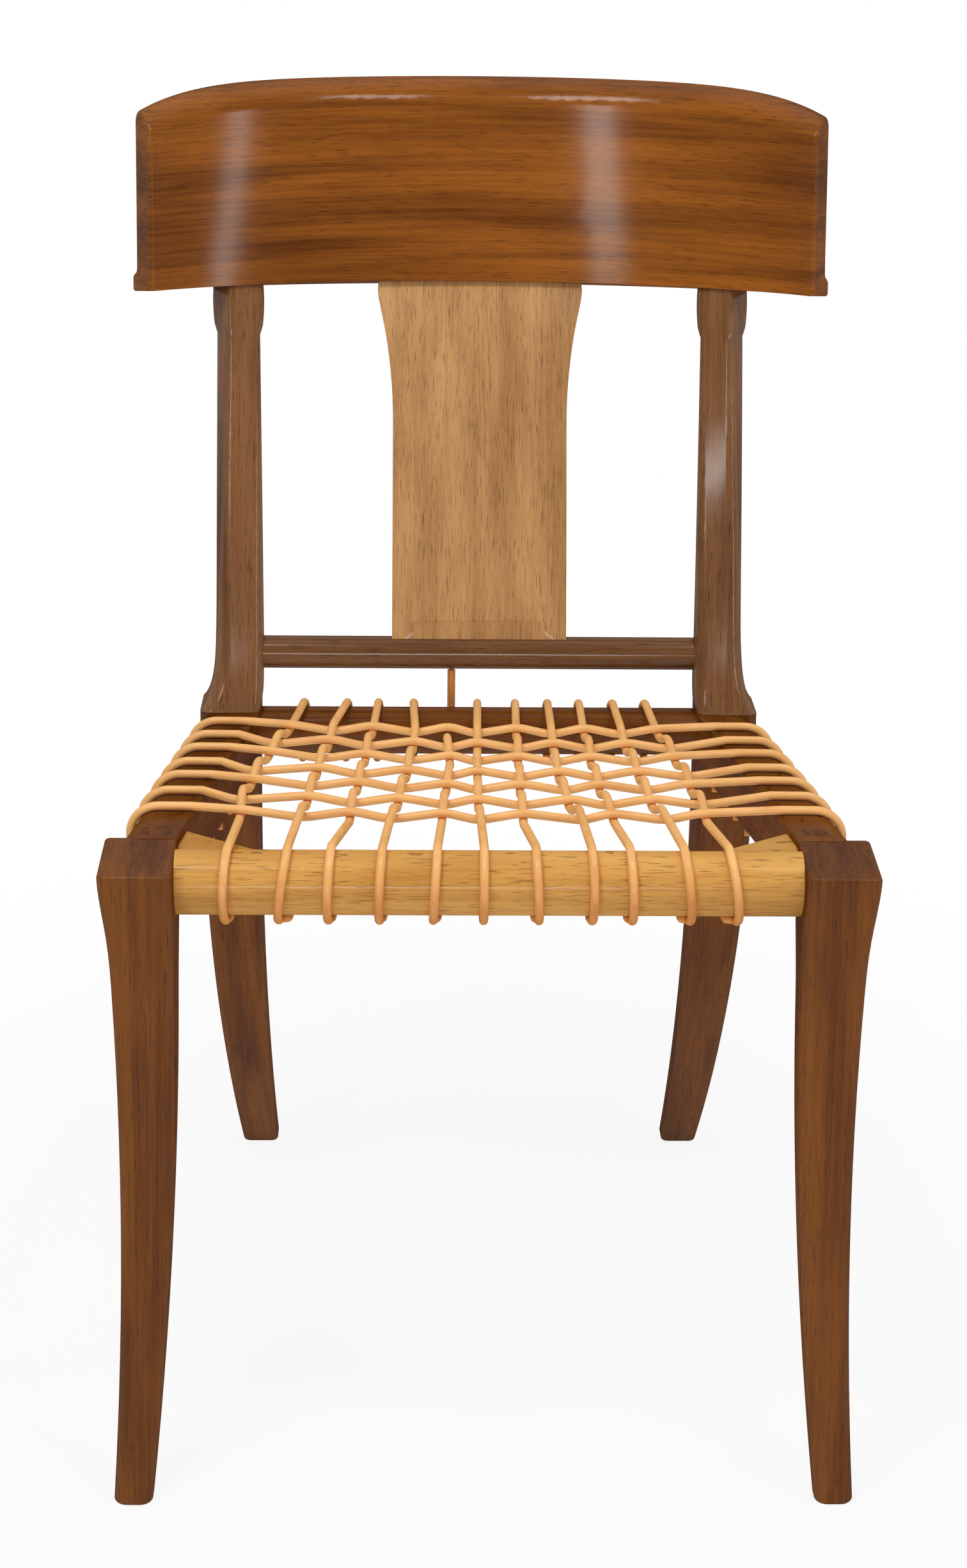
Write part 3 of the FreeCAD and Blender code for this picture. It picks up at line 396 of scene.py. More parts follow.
def build_leather_group():
    """Round leather cord: lengthwise tone, painted shade towards both ends where it wraps under the
    rails, and small cracks.
    """
    tree, given, result = new_group(
        "leather_cord", "ShaderNodeTree",
        (("Map", "NodeSocketVector", None), ("Light", "NodeSocketColor", (0.6, 0.3, 0.1, 1)),
         ("Dark", "NodeSocketColor", (0.3, 0.1, 0.03, 1))),
        (("Color", "NodeSocketColor"), ("Roughness", "NodeSocketFloat"),
         ("Height", "NodeSocketFloat")))
    place = add_node(tree, "ShaderNodeTexCoord").outputs["Object"]
    along = given.outputs["Map"]
    parts = add_node(tree, "ShaderNodeSeparateXYZ")
    feed(tree, along, parts, "Vector")
    # Darker towards both ends, where the cord wraps round and under the rails: painted shade.
    end = map_range(tree, parts.outputs["Z"], 0.03, 0.085, 0.75, 0.0)
    tone = noise_value(tree, scaled(tree, along, (16.0, 0.6, 0.0)), 1.0, 3.0, 0.3)
    streak = noise_value(tree, scaled(tree, along, (60.0, 3.0, 0.0)), 1.0, 3.0, 0.4)
    scuffs = noise_value(tree, place, 420.0, 3.0, 0.4, 0.6)
    share = math_node(tree, "MULTIPLY_ADD", map_range(tree, tone, 0.45, 0.75), 0.35,
                      math_node(tree, "MULTIPLY", map_range(tree, streak, 0.45, 0.8), 0.35))
    share = math_node(tree, "MINIMUM", math_node(tree, "ADD", share, end), 1.0)
    colour = mix_colour(tree, share, given.outputs["Light"], given.outputs["Dark"])
    scuff_mask = math_node(tree, "MULTIPLY", map_range(tree, scuffs, 0.62, 0.75), 0.25)
    colour = mix_colour(tree, scuff_mask, colour, SCUFFED_LEATHER_COLOUR)
    rough = map_range(tree, streak, 0.3, 0.7, 0.4, 0.55)
    tree.links.new(colour, result.inputs["Color"])
    tree.links.new(rough, result.inputs["Roughness"])
    tree.links.new(scuffs, result.inputs["Height"])


# Materials.

def wood_material(name, light, dark, gloss, pale_edge_amount):
    """Lacquered wood: grain under a clear coat that alone gives the gloss, and that fades at
    grazing angles, with the arrises painted pale, partly as worn lacquer and partly as a painted
    highlight."""
    material = bpy.data.materials.new(name)
    material.use_nodes = True
    tree = material.node_tree
    shader = tree.nodes["Principled BSDF"]
    grain = add_node(tree, "ShaderNodeAttribute", attribute_name="grain")
    edge = add_node(tree, "ShaderNodeAttribute", attribute_name="arris")
    figure = add_node(tree, "ShaderNodeGroup", node_tree=bpy.data.node_groups["walnut_grain"])
    wear_and_edge_highlight = add_node(tree, "ShaderNodeGroup", node_tree=bpy.data.node_groups["lacquer_wear_and_edge_highlight"])
    feed(tree, grain.outputs["Vector"], figure, "Grain")
    feed(tree, (*light, 1), figure, "Light")
    feed(tree, (*dark, 1), figure, "Dark")
    feed(tree, figure.outputs["Color"], wear_and_edge_highlight, "Color")
    feed(tree, edge.outputs["Fac"], wear_and_edge_highlight, "Edge")
    wear_and_edge_highlight.inputs["Amount"].default_value = pale_edge_amount
    feed(tree, wear_and_edge_highlight.outputs["Color"], shader, "Base Color")
    feed(tree, wear_and_edge_highlight.outputs["Roughness"], shader, "Roughness")
    shader.inputs["Specular IOR Level"].default_value = 0.0
    shader.inputs["Coat Roughness"].default_value = COAT_ROUGHNESS
    shader.inputs["Coat IOR"].default_value = COAT_IOR
    tilt = add_node(tree, "ShaderNodeLayerWeight")
    coat = map_range(tree, tilt.outputs["Facing"], 0.35, 0.85, gloss, 0.08 * gloss)
    feed(tree, coat, shader, "Coat Weight")
    bump = add_node(tree, "ShaderNodeBump")
    bump.inputs["Strength"].default_value = WOOD_BUMP_STRENGTH
    bump.inputs["Distance"].default_value = BUMP_DEPTH
    feed(tree, figure.outputs["Height"], bump, "Height")
    feed(tree, bump.outputs["Normal"], shader, "Normal")


def dowel_material(light, dark):
    """Plain beech with small flecks."""
    material = bpy.data.materials.new("beech_dowel")
    material.use_nodes = True
    tree = material.node_tree
    shader = tree.nodes["Principled BSDF"]
    place = add_node(tree, "ShaderNodeTexCoord").outputs["Object"]
    fleck = noise_value(tree, scaled(tree, place, FLECK_SCALE), 1.0, 3.0, 0.5)
    feed(tree, mix_colour(tree, fleck, (*light, 1), (*dark, 1)), shader, "Base Color")
    shader.inputs["Roughness"].default_value = DOWEL_ROUGHNESS


def leather_material(light, dark):
    """Smooth leather cord with a low sheen."""
    material = bpy.data.materials.new("seat_leather")
    material.use_nodes = True
    tree = material.node_tree
    shader = tree.nodes["Principled BSDF"]
    cord_map = add_node(tree, "ShaderNodeAttribute", attribute_name="cord_map")
    leather = add_node(tree, "ShaderNodeGroup", node_tree=bpy.data.node_groups["leather_cord"])
    feed(tree, cord_map.outputs["Vector"], leather, "Map")
    feed(tree, (*light, 1), leather, "Light")
    feed(tree, (*dark, 1), leather, "Dark")
    feed(tree, leather.outputs["Color"], shader, "Base Color")
    feed(tree, leather.outputs["Roughness"], shader, "Roughness")
    shader.inputs["Specular IOR Level"].default_value = 0.0
    shader.inputs["Coat Roughness"].default_value = LEATHER_COAT_ROUGHNESS
    tilt = add_node(tree, "ShaderNodeLayerWeight")
    coat = map_range(tree, tilt.outputs["Facing"], 0.3, 0.8, 0.5, 0.02)
    feed(tree, coat, shader, "Coat Weight")
    bump = add_node(tree, "ShaderNodeBump")
    bump.inputs["Strength"].default_value = LEATHER_BUMP_STRENGTH
    bump.inputs["Distance"].default_value = BUMP_DEPTH
    feed(tree, leather.outputs["Height"], bump, "Height")
    feed(tree, bump.outputs["Normal"], shader, "Normal")


# The wooden pieces.

def rounded_copy(node_name, piece_name, width):
    """A copy of a node's mesh with its triangles joined up and its sharp edges eased. The
    attribute arris is 1 on the eased edges and 0 elsewhere."""
    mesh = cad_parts[node_name].data.copy()
    mesh.name = piece_name
    shell = bmesh.new()
    shell.from_mesh(mesh)
    bmesh.ops.remove_doubles(shell, verts=shell.verts, dist=JOIN_DISTANCE)
    bmesh.ops.dissolve_degenerate(shell, edges=shell.edges, dist=SLIVER_LENGTH)
    bmesh.ops.dissolve_limit(shell, verts=shell.verts, edges=shell.edges,
                             angle_limit=math.radians(FLAT_ANGLE))
    sharp = [edge for edge in shell.edges
             if edge.is_manifold and edge.calc_face_angle() > math.radians(SHARP_ANGLE)]
    eased = bmesh.ops.bevel(shell, geom=sharp, offset=width, offset_type="OFFSET",
                            segments=ARRIS_SEGMENTS, profile=0.5, affect="EDGES",
                            clamp_overlap=True)
    arris = shell.loops.layers.float.new("arris")
    for face in eased["faces"]:
        for corner in face.loops:
            corner[arris] = 1.0
    for face in shell.faces:
        face.smooth = True
    shell.to_mesh(mesh)
    shell.free()
    mesh.attributes.remove(mesh.attributes["custom_normal"])
    mesh.materials.clear()
    piece = bpy.data.objects.new(piece_name, mesh)
    bpy.context.scene.collection.objects.link(piece)
    return piece


def store_grain(mesh, axes, shift, radius=None):
    """Stores the grain's own coordinates: along it, then across it, in metres."""
    count = len(mesh.vertices)
    places = np.empty(count * 3, dtype=np.float32)
    mesh.vertices.foreach_get("co", places)
    places = places.reshape(count, 3)
    grain = places[:, axes].copy()
    if radius is not None:
        angle = np.arcsin(np.clip(places[:, 0] / radius, -1.0, 1.0))
        grain[:, 0] = radius * angle
        grain[:, 2] = places[:, 1] + radius * (1 - np.cos(angle))
    grain += np.array(shift, dtype=np.float32)
    layer = mesh.attributes.new("grain", "FLOAT_VECTOR", "POINT")
    layer.data.foreach_set("vector", grain.ravel())


def dress_wood(node_name, material_name, number, width=ARRIS_WIDTH, radius=None):
    """One wooden piece, shaped as its node is, with grain, gloss, and arrises painted pale as wear
    and as a painted highlight.
    """
    piece = rounded_copy(node_name, node_name + "_wood", width)
    normals = piece.modifiers.new("arris_normals", "WEIGHTED_NORMAL")
    normals.mode = "FACE_AREA_WITH_ANGLE"
    shift = [number * item for item in GRAIN_SHIFT]
    store_grain(piece.data, GRAIN_AXES[node_name], shift, radius)
    piece.data.materials.append(bpy.data.materials[material_name])
    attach(piece, "root")
    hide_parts(node_name)


# The seat cords. Each lies in an upright plane, where it goes round a row of circles:
# the rails' round sides, and the cords that it passes over or under. Millimetres.

def turn_side(over):
    """1 where the cord passes above a circle, and -1 where it passes below."""
    return 1.0 if over else -1.0


def tangent_angle(first, second):
    """Angle of the line that leaves one circle and meets the next, each on its own side."""
    run = second[0] - first[0]
    rise = second[1] - first[1]
    spread = turn_side(second[3]) * second[2] - turn_side(first[3]) * first[2]
    return math.atan2(rise, run) + math.asin(spread / math.hypot(run, rise))


def belt(circles, first_angle, last_angle):
    """Points of the path round a row of circles, close together on the arcs."""
    angles = [first_angle]
    for first, second in zip(circles, circles[1:]):
        angles.append(tangent_angle(first, second))
    angles.append(last_angle)
    points = []
    for circle, start, end in zip(circles, angles, angles[1:]):
        side = turn_side(circle[3]) * circle[2]
        steps = max(2, math.ceil(abs(end - start) / math.radians(ARC_STEP)))
        for step in range(steps + 1):
            angle = start + (end - start) * step / steps
            points.append((circle[0] - side * math.sin(angle),
                           circle[1] + side * math.cos(angle)))
    return points


def side_rail_at(y, item):
    """The side rails' outer face (1) or top (2) at a depth."""
    share = (y - SIDE_RAIL_FRONT[0]) / (SIDE_RAIL_REAR[0] - SIDE_RAIL_FRONT[0])
    return SIDE_RAIL_FRONT[item] + (SIDE_RAIL_REAR[item] - SIDE_RAIL_FRONT[item]) * share


def weft_ends(row):
    """How deep a side-to-side cord lies at its left and at its right end."""
    return (FRONT_RAIL_Y + WEFT_LEFT_SHARES[row] * SEAT_DEPTH,
            FRONT_RAIL_Y + WEFT_RIGHT_SHARES[row] * SEAT_DEPTH)


def weft_line(row):
    """Where a side-to-side cord starts and which way it runs, in plan."""
    left, right = weft_ends(row)
    half = side_rail_at((left + right) / 2, 1)
    start = Vector((-half, left))
    return start, (Vector((half, right)) - start).normalized()


def warp_line(column):
    """Where a front-to-back cord starts and which way it runs, in plan."""
    start = Vector((WARP_FRONT_X[column], FRONT_RAIL_Y))
    return start, (Vector((WARP_REAR_X[column], REAR_RAIL_Y)) - start).normalized()


def warp_stray(column, along):
    """How far a front-to-back cord lies beside its straight line, at a distance along it."""
    strays = WARP_STRAY[column]
    place = min(max(along / SEAT_DEPTH, 0.0), 1.0) * (len(strays) - 1)
    index = min(int(place), len(strays) - 2)
    share = place - index
    share = share * share * (3 - 2 * share)
    return strays[index] + (strays[index + 1] - strays[index]) * share


def crossing(row, column):
    """How far along a weft and along a warp the two cross, and at what height."""
    weft_start, weft_way = weft_line(row)
    warp_start, warp_way = warp_line(column)
    beside = Vector((warp_way.y, -warp_way.x))
    scale = weft_way.x * warp_way.y - weft_way.y * warp_way.x
    along_warp = SEAT_DEPTH / 2
    for _ in range(CROSSING_ROUNDS):
        gap = warp_start + beside * warp_stray(column, along_warp) - weft_start
        along_weft = (gap.x * warp_way.y - gap.y * warp_way.x) / scale
        along_warp = (gap.x * weft_way.y - gap.y * weft_way.x) / scale
    place = weft_start + weft_way * along_weft
    share = (place.y - FRONT_RAIL_Y) / SEAT_DEPTH
    rails = FRONT_RAIL_TOP + (REAR_RAIL_TOP - FRONT_RAIL_TOP) * share
    across = 1 - (place.x / SEAT_HALF_WIDTH) ** 2
    return along_weft, along_warp, rails - SEAT_SAG * across * 4 * share * (1 - share)


def weave_circles(crossings, first_along, last_along, lift):
    """The circles that a cord bends round where it passes over and under the others, each as
    wide as the space to its neighbours allows."""
    places = [first_along] + [item[0] for item in crossings] + [last_along]
    circles = []
    for index, (along, height, over) in enumerate(crossings):
        run = min(along - places[index], places[index + 2] - along)
        bend = BEND_SHARE * (run * run + 4 * lift * lift) / (8 * lift)
        circles.append((along, height + turn_side(over) * (lift - bend), bend, over))
    return circles


def is_weft_over(row, column):
    """Plain weave: every other crossing has the side-to-side cord on top."""
    return (row + column) % 2 == 0


def warp_points(column, radius):
    """The middle line of one front-to-back cord, in metres."""
    start, way = warp_line(column)
    lead = radius + CORD_GAP
    lift = (2 * radius + CORD_GAP) * (1 - WEFT_LIFT_SHARE)
    slope = 1 / way.y
    front_z = FRONT_RAIL_TOP - FRONT_RAIL_RADIUS
    rear_z = REAR_RAIL_TOP - REAR_RAIL_RADIUS
    circles = [(0.0, front_z, FRONT_RAIL_RADIUS * slope + lead, True)]
    has_tail = column + 1 == TAIL_WARP_NUMBER
    crossings = []
    for row in reversed(range(1 if has_tail else 0, len(WEFT_LEFT_SHARES))):
        _, along_warp, height = crossing(row, column)
        crossings.append((along_warp, height, not is_weft_over(row, column)))
    circles += weave_circles(crossings, 0.0, SEAT_DEPTH * slope, lift)
    circles.append((SEAT_DEPTH * slope, rear_z, REAR_RAIL_RADIUS * slope + lead, not has_tail))
    first_angle = math.radians(180 + WARP_WRAP_END)
    last_angle = math.radians(90 if has_tail else -180 - WARP_WRAP_END)
    flat = belt(circles, first_angle, last_angle)
    if has_tail:
        flat.append((flat[-1][0], TAIL_TOP))
    beside = Vector((way.y, -way.x))
    points = []
    for along, height in flat:
        below = min(max((FRONT_RAIL_TOP - height) / (2 * FRONT_RAIL_RADIUS), 0.0), 1.0)
        lean = WARP_LEAN[column] * below if along < 0 else 0.0
        place = start + way * along + beside * (warp_stray(column, along) + lean)
        points.append((place.x * MM, place.y * MM, height * MM))
    return points


def side_circles(y, outer_along, inner_way, radius):
    """The circles of one side rail that a side-to-side cord goes round, from below."""
    lead = radius + CORD_GAP
    top = side_rail_at(y, 2)
    bottom = top - SIDE_RAIL_HEIGHT
    outer = outer_along + inner_way * SIDE_RAIL_OUTER_ROUND
    inner = outer_along + inner_way * (SIDE_RAIL_WIDTH - SIDE_RAIL_INNER_ROUND)
    return [(inner, bottom + SIDE_RAIL_INNER_ROUND, SIDE_RAIL_INNER_ROUND + lead, True),
            (outer, bottom + SIDE_RAIL_OUTER_ROUND, SIDE_RAIL_OUTER_ROUND + lead, True),
            (outer, top - SIDE_RAIL_OUTER_ROUND, SIDE_RAIL_OUTER_ROUND + lead, True),
            (inner, top - SIDE_RAIL_INNER_ROUND, SIDE_RAIL_INNER_ROUND + lead, True)]


def weft_points(row, radius):
    """The middle line of one side-to-side cord, in metres."""
    start, way = weft_line(row)
    left, right = weft_ends(row)
    left_along = (-side_rail_at(left, 1) - start.x) / way.x
    right_along = (side_rail_at(right, 1) - start.x) / way.x
    circles = side_circles(left, left_along, 1, radius)
    lift = (2 * radius + CORD_GAP) * WEFT_LIFT_SHARE
    crossings = []
    for column in range(len(WARP_FRONT_X)):
        along_weft, _, height = crossing(row, column)
        crossings.append((along_weft, height, is_weft_over(row, column)))
    inside = SIDE_RAIL_WIDTH - SIDE_RAIL_INNER_ROUND
    circles += weave_circles(crossings, left_along + inside, right_along - inside, lift)
    circles += reversed(side_circles(right, right_along, -1, radius))
    end_angle = math.radians(180 + WEFT_WRAP_END)
    points = []
    for along, height in belt(circles, end_angle, -end_angle):
        place = start + way * along
        points.append((place.x * MM, place.y * MM, height * MM))
    return points


def build_cord_tree():
    """Geometry nodes that turn a middle line into a round, slightly uneven cord."""
    tree, given, result = new_group(
        "cord_round_path", "GeometryNodeTree",
        (("Geometry", "NodeSocketGeometry", None), ("Radius", "NodeSocketFloat", 0.003),
         ("Step", "NodeSocketFloat", 0.0016), ("Sides", "NodeSocketInt", 14),
         ("Unevenness", "NodeSocketFloat", 0.05), ("Seed", "NodeSocketFloat", 0.0),
         ("Material", "NodeSocketMaterial", None)),
        (("Geometry", "NodeSocketGeometry"),))
    line = add_node(tree, "GeometryNodeMeshToCurve")
    feed(tree, given.outputs["Geometry"], line, "Mesh")
    resample = add_node(tree, "GeometryNodeResampleCurve", mode="LENGTH")
    feed(tree, line.outputs["Curve"], resample, "Curve")
    feed(tree, given.outputs["Step"], resample, "Length")
    run = add_node(tree, "GeometryNodeSplineParameter")
    seeded = math_node(tree, "MULTIPLY_ADD", given.outputs["Seed"], SEED_STEP,
                       run.outputs["Length"])
    spot = add_node(tree, "ShaderNodeCombineXYZ")
    feed(tree, seeded, spot, "X")
    swell = noise_value(tree, spot.outputs[0], 55.0, 2.0)
    narrow = math_node(tree, "SUBTRACT", 1.0, math_node(
        tree, "MULTIPLY", swell, given.outputs["Unevenness"]))
    rings = add_node(tree, "GeometryNodeSetCurveRadius")
    feed(tree, resample.outputs["Curve"], rings, "Curve")
    feed(tree, narrow, rings, "Radius")
    kept = add_node(tree, "GeometryNodeCaptureAttribute")
    kept.capture_items.new("FLOAT", "Along")
    kept.capture_items.new("FLOAT", "End")
    feed(tree, rings.outputs["Curve"], kept, "Geometry")
    feed(tree, seeded, kept, "Along")
    whole = add_node(tree, "GeometryNodeSplineLength")
    rest = math_node(tree, "SUBTRACT", whole.outputs["Length"], run.outputs["Length"])
    feed(tree, math_node(tree, "MINIMUM", rest, run.outputs["Length"]), kept, "End")
    section = add_node(tree, "GeometryNodeCurvePrimitiveCircle")
    feed(tree, given.outputs["Sides"], section, "Resolution")
    feed(tree, given.outputs["Radius"], section, "Radius")
    around = add_node(tree, "GeometryNodeSplineParameter")
    ring = add_node(tree, "GeometryNodeCaptureAttribute")
    ring.capture_items.new("FLOAT", "Around")
    feed(tree, section.outputs["Curve"], ring, "Geometry")
    feed(tree, around.outputs["Factor"], ring, "Around")
    tube = add_node(tree, "GeometryNodeCurveToMesh")
    feed(tree, kept.outputs["Geometry"], tube, "Curve")
    feed(tree, ring.outputs["Geometry"], tube, "Profile Curve")
    tube.inputs["Fill Caps"].default_value = True
    cord_map = add_node(tree, "ShaderNodeCombineXYZ")
    feed(tree, kept.outputs["Along"], cord_map, "X")
    turn = math_node(tree, "MULTIPLY", ring.outputs["Around"], 2 * math.pi)
    feed(tree, math_node(tree, "SINE", turn), cord_map, "Y")
    feed(tree, kept.outputs["End"], cord_map, "Z")
    store = add_node(tree, "GeometryNodeStoreNamedAttribute", data_type="FLOAT_VECTOR",
                     domain="POINT")
    store.inputs["Name"].default_value = "cord_map"
    feed(tree, tube.outputs["Mesh"], store, "Geometry")
    feed(tree, cord_map.outputs[0], store, "Value")
    smooth = add_node(tree, "GeometryNodeSetShadeSmooth")
    feed(tree, store.outputs["Geometry"], smooth, "Geometry")
    real = add_node(tree, "GeometryNodeRealizeInstances")
    feed(tree, smooth.outputs["Geometry"], real, "Geometry")
    finish = add_node(tree, "GeometryNodeSetMaterial")
    feed(tree, real.outputs["Geometry"], finish, "Geometry")
    feed(tree, given.outputs["Material"], finish, "Material")
    feed(tree, finish.outputs["Geometry"], result, "Geometry")


def set_input(modifier, name, value):
    """Sets a modifier's input by its socket's identifier."""
    for item in modifier.node_group.interface.items_tree:
        if item.item_type == "SOCKET" and item.in_out == "INPUT" and item.name == name:
            modifier[item.identifier] = value


def add_cord(node_name, points, seed, settings):
    """One cord that takes its node's place."""
    edges = [(index, index + 1) for index in range(len(points) - 1)]
    piece = add_mesh(node_name + "_leather", points, edges, [])
    modifier = piece.modifiers.new("cord", "NODES")
    modifier.node_group = bpy.data.node_groups["cord_round_path"]
    set_input(modifier, "Radius", settings.radius)
    set_input(modifier, "Step", settings.step)
    set_input(modifier, "Sides", settings.sides)
    set_input(modifier, "Unevenness", settings.unevenness)
    set_input(modifier, "Seed", float(seed))
    set_input(modifier, "Material", bpy.data.materials["seat_leather"])
    graph = bpy.context.evaluated_depsgraph_get()
    mesh = bpy.data.meshes.new_from_object(piece.evaluated_get(graph), depsgraph=graph)
    piece.modifiers.clear()
    piece.data = mesh
    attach(piece, "root")
    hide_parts(node_name)


# The stage.

def add_area_light(name, place, target, size, power):
    """A soft rectangular lamp that faces a point."""
    lamp = bpy.data.lights.new(name, "AREA")
    lamp.shape = "RECTANGLE"
    lamp.size = size[0]
    lamp.size_y = size[1]
    lamp.energy = power
    holder = bpy.data.objects.new(name, lamp)
    holder.location = place
    holder.rotation_euler = (Vector(target) - Vector(place)).to_track_quat("-Z", "Y").to_euler()
    bpy.context.scene.collection.objects.link(holder)


def floor_material(colour):
    """Pale floor that turns plain white away from the chair, and keeps its soft shadow."""
    material = bpy.data.materials.new("studio_floor")
    material.use_nodes = True
    tree = material.node_tree
    shader = tree.nodes["Principled BSDF"]
    shader.inputs["Base Color"].default_value = (*colour, 1)
    shader.inputs["Roughness"].default_value = FLOOR_ROUGHNESS
    shader.inputs["Specular IOR Level"].default_value = FLOOR_GLOSS
    glow = add_node(tree, "ShaderNodeEmission")
    place = add_node(tree, "ShaderNodeTexCoord").outputs["Object"]
    length = add_node(tree, "ShaderNodeVectorMath", operation="LENGTH")
    feed(tree, scaled(tree, place, (1.0, 0.75, 1.0)), length, 0)
    far = map_range(tree, length.outputs["Value"], 0.25, 0.9, 0.88, 1.0)
    path = add_node(tree, "ShaderNodeLightPath")
    seen = math_node(tree, "MAXIMUM", path.outputs["Is Camera Ray"], math_node(
        tree, "MAXIMUM", path.outputs["Is Glossy Ray"], path.outputs["Is Transmission Ray"]))
    mix = add_node(tree, "ShaderNodeMixShader")
    feed(tree, math_node(tree, "MULTIPLY", far, seen), mix, 0)
    feed(tree, shader.outputs[0], mix, 1)
    feed(tree, glow.outputs[0], mix, 2)
    output = tree.nodes["Material Output"]
    tree.links.new(mix.outputs[0], output.inputs["Surface"])
    return material


def build_world(ambient):
    """White for the eye, and in reflections of what is behind the chair. The front of the room
    is dim in reflections, and an even light falls from all round."""
    world = bpy.data.worlds.new("studio")
    bpy.context.scene.world = world
    world.use_nodes = True
    tree = world.node_tree
    background = tree.nodes["Background"]
    background.inputs["Color"].default_value = (1, 1, 1, 1)
    path = add_node(tree, "ShaderNodeLightPath")
    way = add_node(tree, "ShaderNodeSeparateXYZ")
    feed(tree, add_node(tree, "ShaderNodeTexCoord").outputs["Generated"], way, "Vector")
    behind = map_range(tree, way.outputs["Y"], -0.35, 0.1, 0.15, 1.0)
    mirrored = math_node(tree, "MAXIMUM", path.outputs["Is Glossy Ray"],
                         path.outputs["Is Transmission Ray"])
    strength = add_node(tree, "ShaderNodeMix")
    feed(tree, mirrored, strength, 0)
    feed(tree, ambient, strength, 2)
    feed(tree, behind, strength, 3)
    strength = math_node(tree, "MAXIMUM", strength.outputs[0], path.outputs["Is Camera Ray"])
    feed(tree, strength, background, "Strength")


# Operators.

class KlismosFinishes(bpy.types.Operator):
    """Makes the node groups and the materials"""

    bl_idname = "klismos.finishes"
    bl_label = "Make finishes"

    def execute(self, context):
        wood = context.scene.klismos_wood
        cord = context.scene.klismos_cord
        build_grain_group()
        build_wear_and_edge_highlight_group()
        build_leather_group()
        wood_material("crest_walnut", wood.crest_light, wood.crest_dark, *CREST_FINISH)
        wood_material("leg_walnut", wood.leg_light, wood.leg_dark, *LEG_FINISH)
        wood_material("post_walnut", wood.post_light, wood.post_dark, *POST_FINISH)
        wood_material("rail_walnut", wood.rail_light, wood.rail_dark, *RAIL_FINISH)
        wood_material("splat_walnut", wood.splat_light, wood.splat_dark, *SPLAT_FINISH)
        dowel_material(wood.dowel_light, wood.dowel_dark)
        leather_material(cord.light, cord.dark)
        return {"FINISHED"}


class KlismosLegsAndPosts(bpy.types.Operator):
    """Dresses the front legs, the rear legs and the back posts"""

    bl_idname = "klismos.legs_and_posts"
    bl_label = "Legs and posts"

    def execute(self, context):
        number = 0
        for part, look in (("front_leg", "leg_walnut"), ("rear_leg", "leg_walnut"),
                           ("back_post", "post_walnut")):
            for side in ("left", "right"):
                number += 1
                dress_wood(f"{part}_{side}", look, number, LEG_ARRIS_WIDTH)
        return {"FINISHED"}


class KlismosRails(bpy.types.Operator):
    """Dresses the seat rails and the lower back rod"""

    bl_idname = "klismos.rails"
    bl_label = "Rails and rod"

    def execute(self, context):
        dress_wood("front_seat_rail", "rail_walnut", 7)
        dress_wood("rear_seat_rail", "leg_walnut", 8)
        dress_wood("side_seat_rail_left", "leg_walnut", 9)
        dress_wood("side_seat_rail_right", "leg_walnut", 10)
        dress_wood("lower_back_rod", "post_walnut", 11)
        return {"FINISHED"}


class KlismosBack(bpy.types.Operator):
    """Dresses the splat and the crest rail"""

    bl_idname = "klismos.back"
    bl_label = "Splat and crest rail"

    def execute(self, context):
        dress_wood("back_splat", "splat_walnut", 12)
        dress_wood("crest_rail", "crest_walnut", 13, radius=CREST_RADIUS)
        return {"FINISHED"}


class KlismosDowels(bpy.types.Operator):
    """Gives the dowels inside the joints their beech"""

    bl_idname = "klismos.dowels"
    bl_label = "Dowels"

    def execute(self, context):
        for name in DOWEL_NODES:
            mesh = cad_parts[name].data
            mesh.materials.clear()
            mesh.materials.append(bpy.data.materials["beech_dowel"])
        return {"FINISHED"}


class KlismosCords(bpy.types.Operator):
    """Weaves the leather cords of the seat"""

    bl_idname = "klismos.cords"
    bl_label = "Seat cords"

    def execute(self, context):
        settings = context.scene.klismos_cord
        radius = settings.radius / MM
        build_cord_tree()
        for column in range(len(WARP_FRONT_X)):
            name = "seat_warp_%02d" % (column + 1)
            add_cord(name, warp_points(column, radius), column + WARP_SEED, settings)
        for row in range(len(WEFT_LEFT_SHARES)):
            name = "seat_weft_%02d" % (row + 1)
            add_cord(name, weft_points(row, radius), row + WEFT_SEED, settings)
        return {"FINISHED"}


class KlismosStage(bpy.types.Operator):
    """Makes the floor, the soft lamps and the white surroundings"""

    bl_idname = "klismos.stage"
    bl_label = "Stage"

    def execute(self, context):
        settings = context.scene.klismos_stage
        reach = FLOOR_REACH
        corners = [(-reach, -reach, 0), (reach, -reach, 0), (reach, reach, 0), (-reach, reach, 0)]
        floor = add_mesh("studio_floor", corners, [], [(0, 1, 2, 3)])
        floor.data.materials.append(floor_material(settings.floor_colour))
        build_world(settings.ambient)
        for lamp in LAMPS:
            add_area_light(*lamp)
        context.scene.view_settings.view_transform = "Standard"
        return {"FINISHED"}


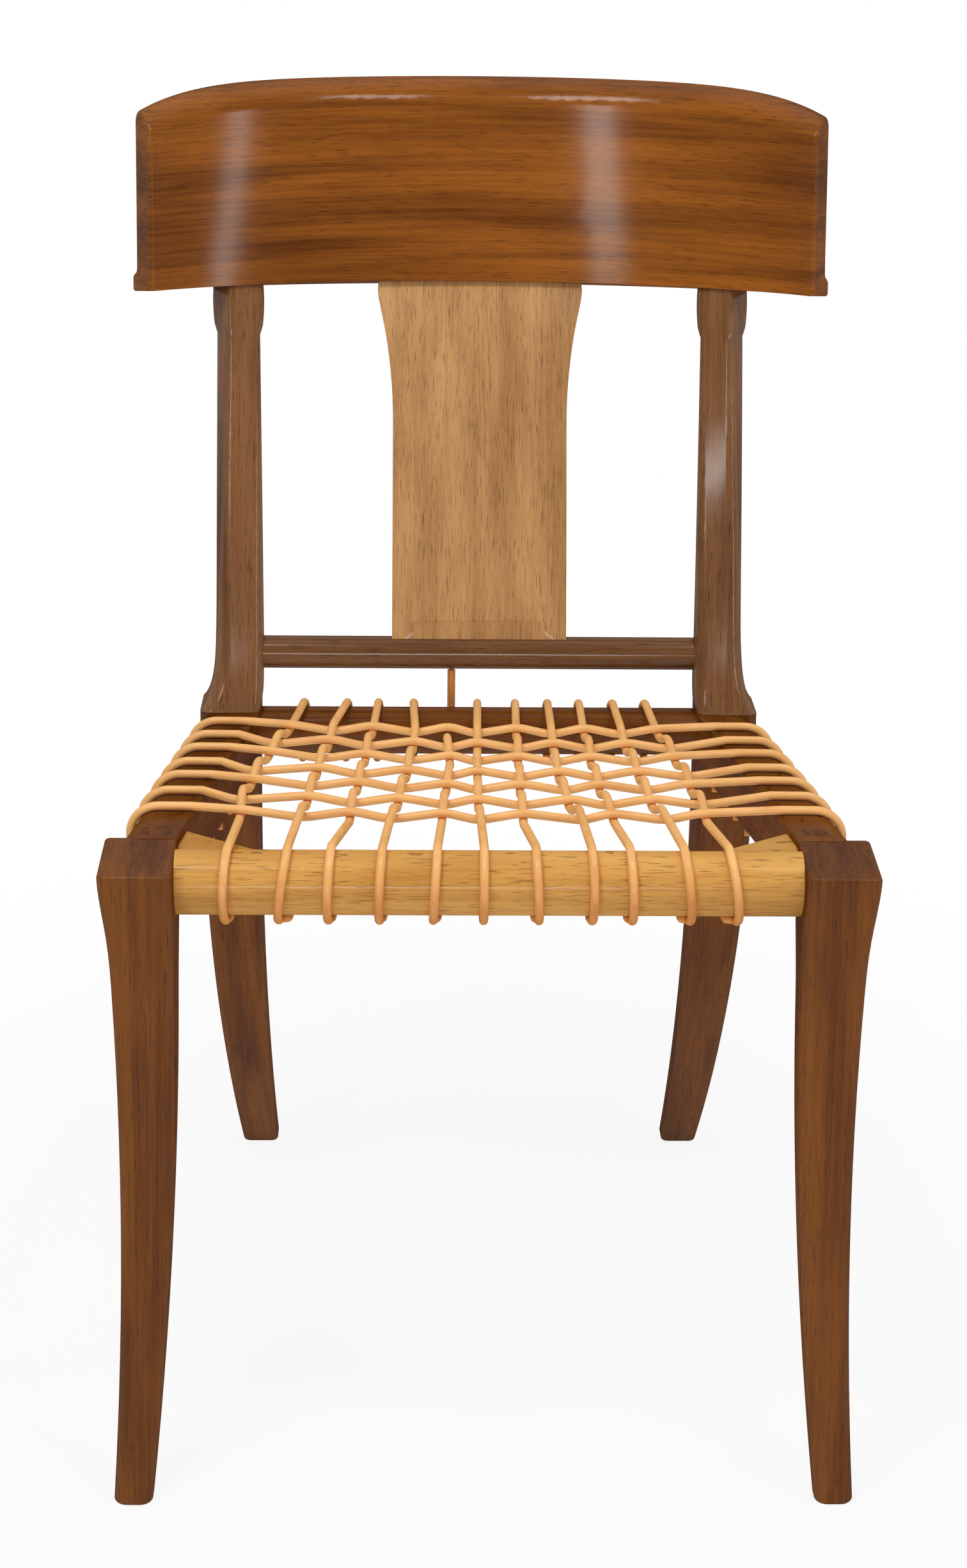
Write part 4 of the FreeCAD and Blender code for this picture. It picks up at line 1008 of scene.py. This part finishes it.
class KlismosCamera(bpy.types.Operator):
    """Places the camera at the photograph's viewpoint"""

    bl_idname = "klismos.camera"
    bl_label = "Camera"

    def execute(self, context):
        yaw = math.radians(CAMERA_YAW)
        pitch = math.radians(CAMERA_PITCH)
        roll = math.radians(CAMERA_ROLL)
        right = Vector((math.cos(yaw), math.sin(yaw), 0))
        ahead = Vector((-math.sin(yaw) * math.cos(pitch), math.cos(yaw) * math.cos(pitch),
                        -math.sin(pitch)))
        up = right.cross(ahead)
        across = right * math.cos(roll) + up * math.sin(roll)
        upward = up * math.cos(roll) - right * math.sin(roll)
        turn = Matrix((across, upward, -ahead)).transposed()
        data = bpy.data.cameras.new("camera")
        data.sensor_width = SENSOR_WIDTH
        data.lens = FOCAL_PIXELS / PHOTO_HEIGHT * SENSOR_WIDTH
        data.shift_x = -CENTRE_RIGHT_PIXELS / PHOTO_HEIGHT
        data.shift_y = CENTRE_DOWN_PIXELS / PHOTO_HEIGHT
        camera = bpy.data.objects.new("camera", data)
        camera.matrix_world = Matrix.Translation(CAMERA_PLACE) @ turn.to_4x4()
        context.scene.collection.objects.link(camera)
        context.scene.camera = camera
        return {"FINISHED"}


OPERATORS = (KlismosFinishes, KlismosLegsAndPosts, KlismosRails, KlismosBack, KlismosDowels,
             KlismosCords, KlismosStage, KlismosCamera)
SETTINGS = {"klismos_wood": WoodSettings, "klismos_cord": CordSettings,
            "klismos_stage": StageSettings}


class KlismosPanel(bpy.types.Panel):
    """Lists the chair's pieces and settings"""

    bl_idname = "VIEW3D_PT_klismos"
    bl_label = "Klismos chair"
    bl_space_type = "VIEW_3D"
    bl_region_type = "UI"
    bl_category = "Klismos"

    def draw(self, context):
        for name, group in SETTINGS.items():
            settings = getattr(context.scene, name)
            column = self.layout.column()
            for key in group.__annotations__:
                column.prop(settings, key)
        for operator in OPERATORS:
            self.layout.operator(operator.bl_idname)


def register():
    for group in SETTINGS.values():
        bpy.utils.register_class(group)
    for name, group in SETTINGS.items():
        setattr(bpy.types.Scene, name, bpy.props.PointerProperty(type=group))
    for item in OPERATORS + (KlismosPanel,):
        bpy.utils.register_class(item)


def unregister():
    for item in reversed(OPERATORS + (KlismosPanel,)):
        bpy.utils.unregister_class(item)
    for name, group in SETTINGS.items():
        delattr(bpy.types.Scene, name)
        bpy.utils.unregister_class(group)


def main():
    """Builds every piece and the stage."""
    register()
    bpy.ops.klismos.camera()
    bpy.ops.klismos.finishes()
    bpy.ops.klismos.cords()
    bpy.ops.klismos.legs_and_posts()
    bpy.ops.klismos.rails()
    bpy.ops.klismos.back()
    bpy.ops.klismos.dowels()
    bpy.ops.klismos.stage()


if __name__ == "__main__":
    main()
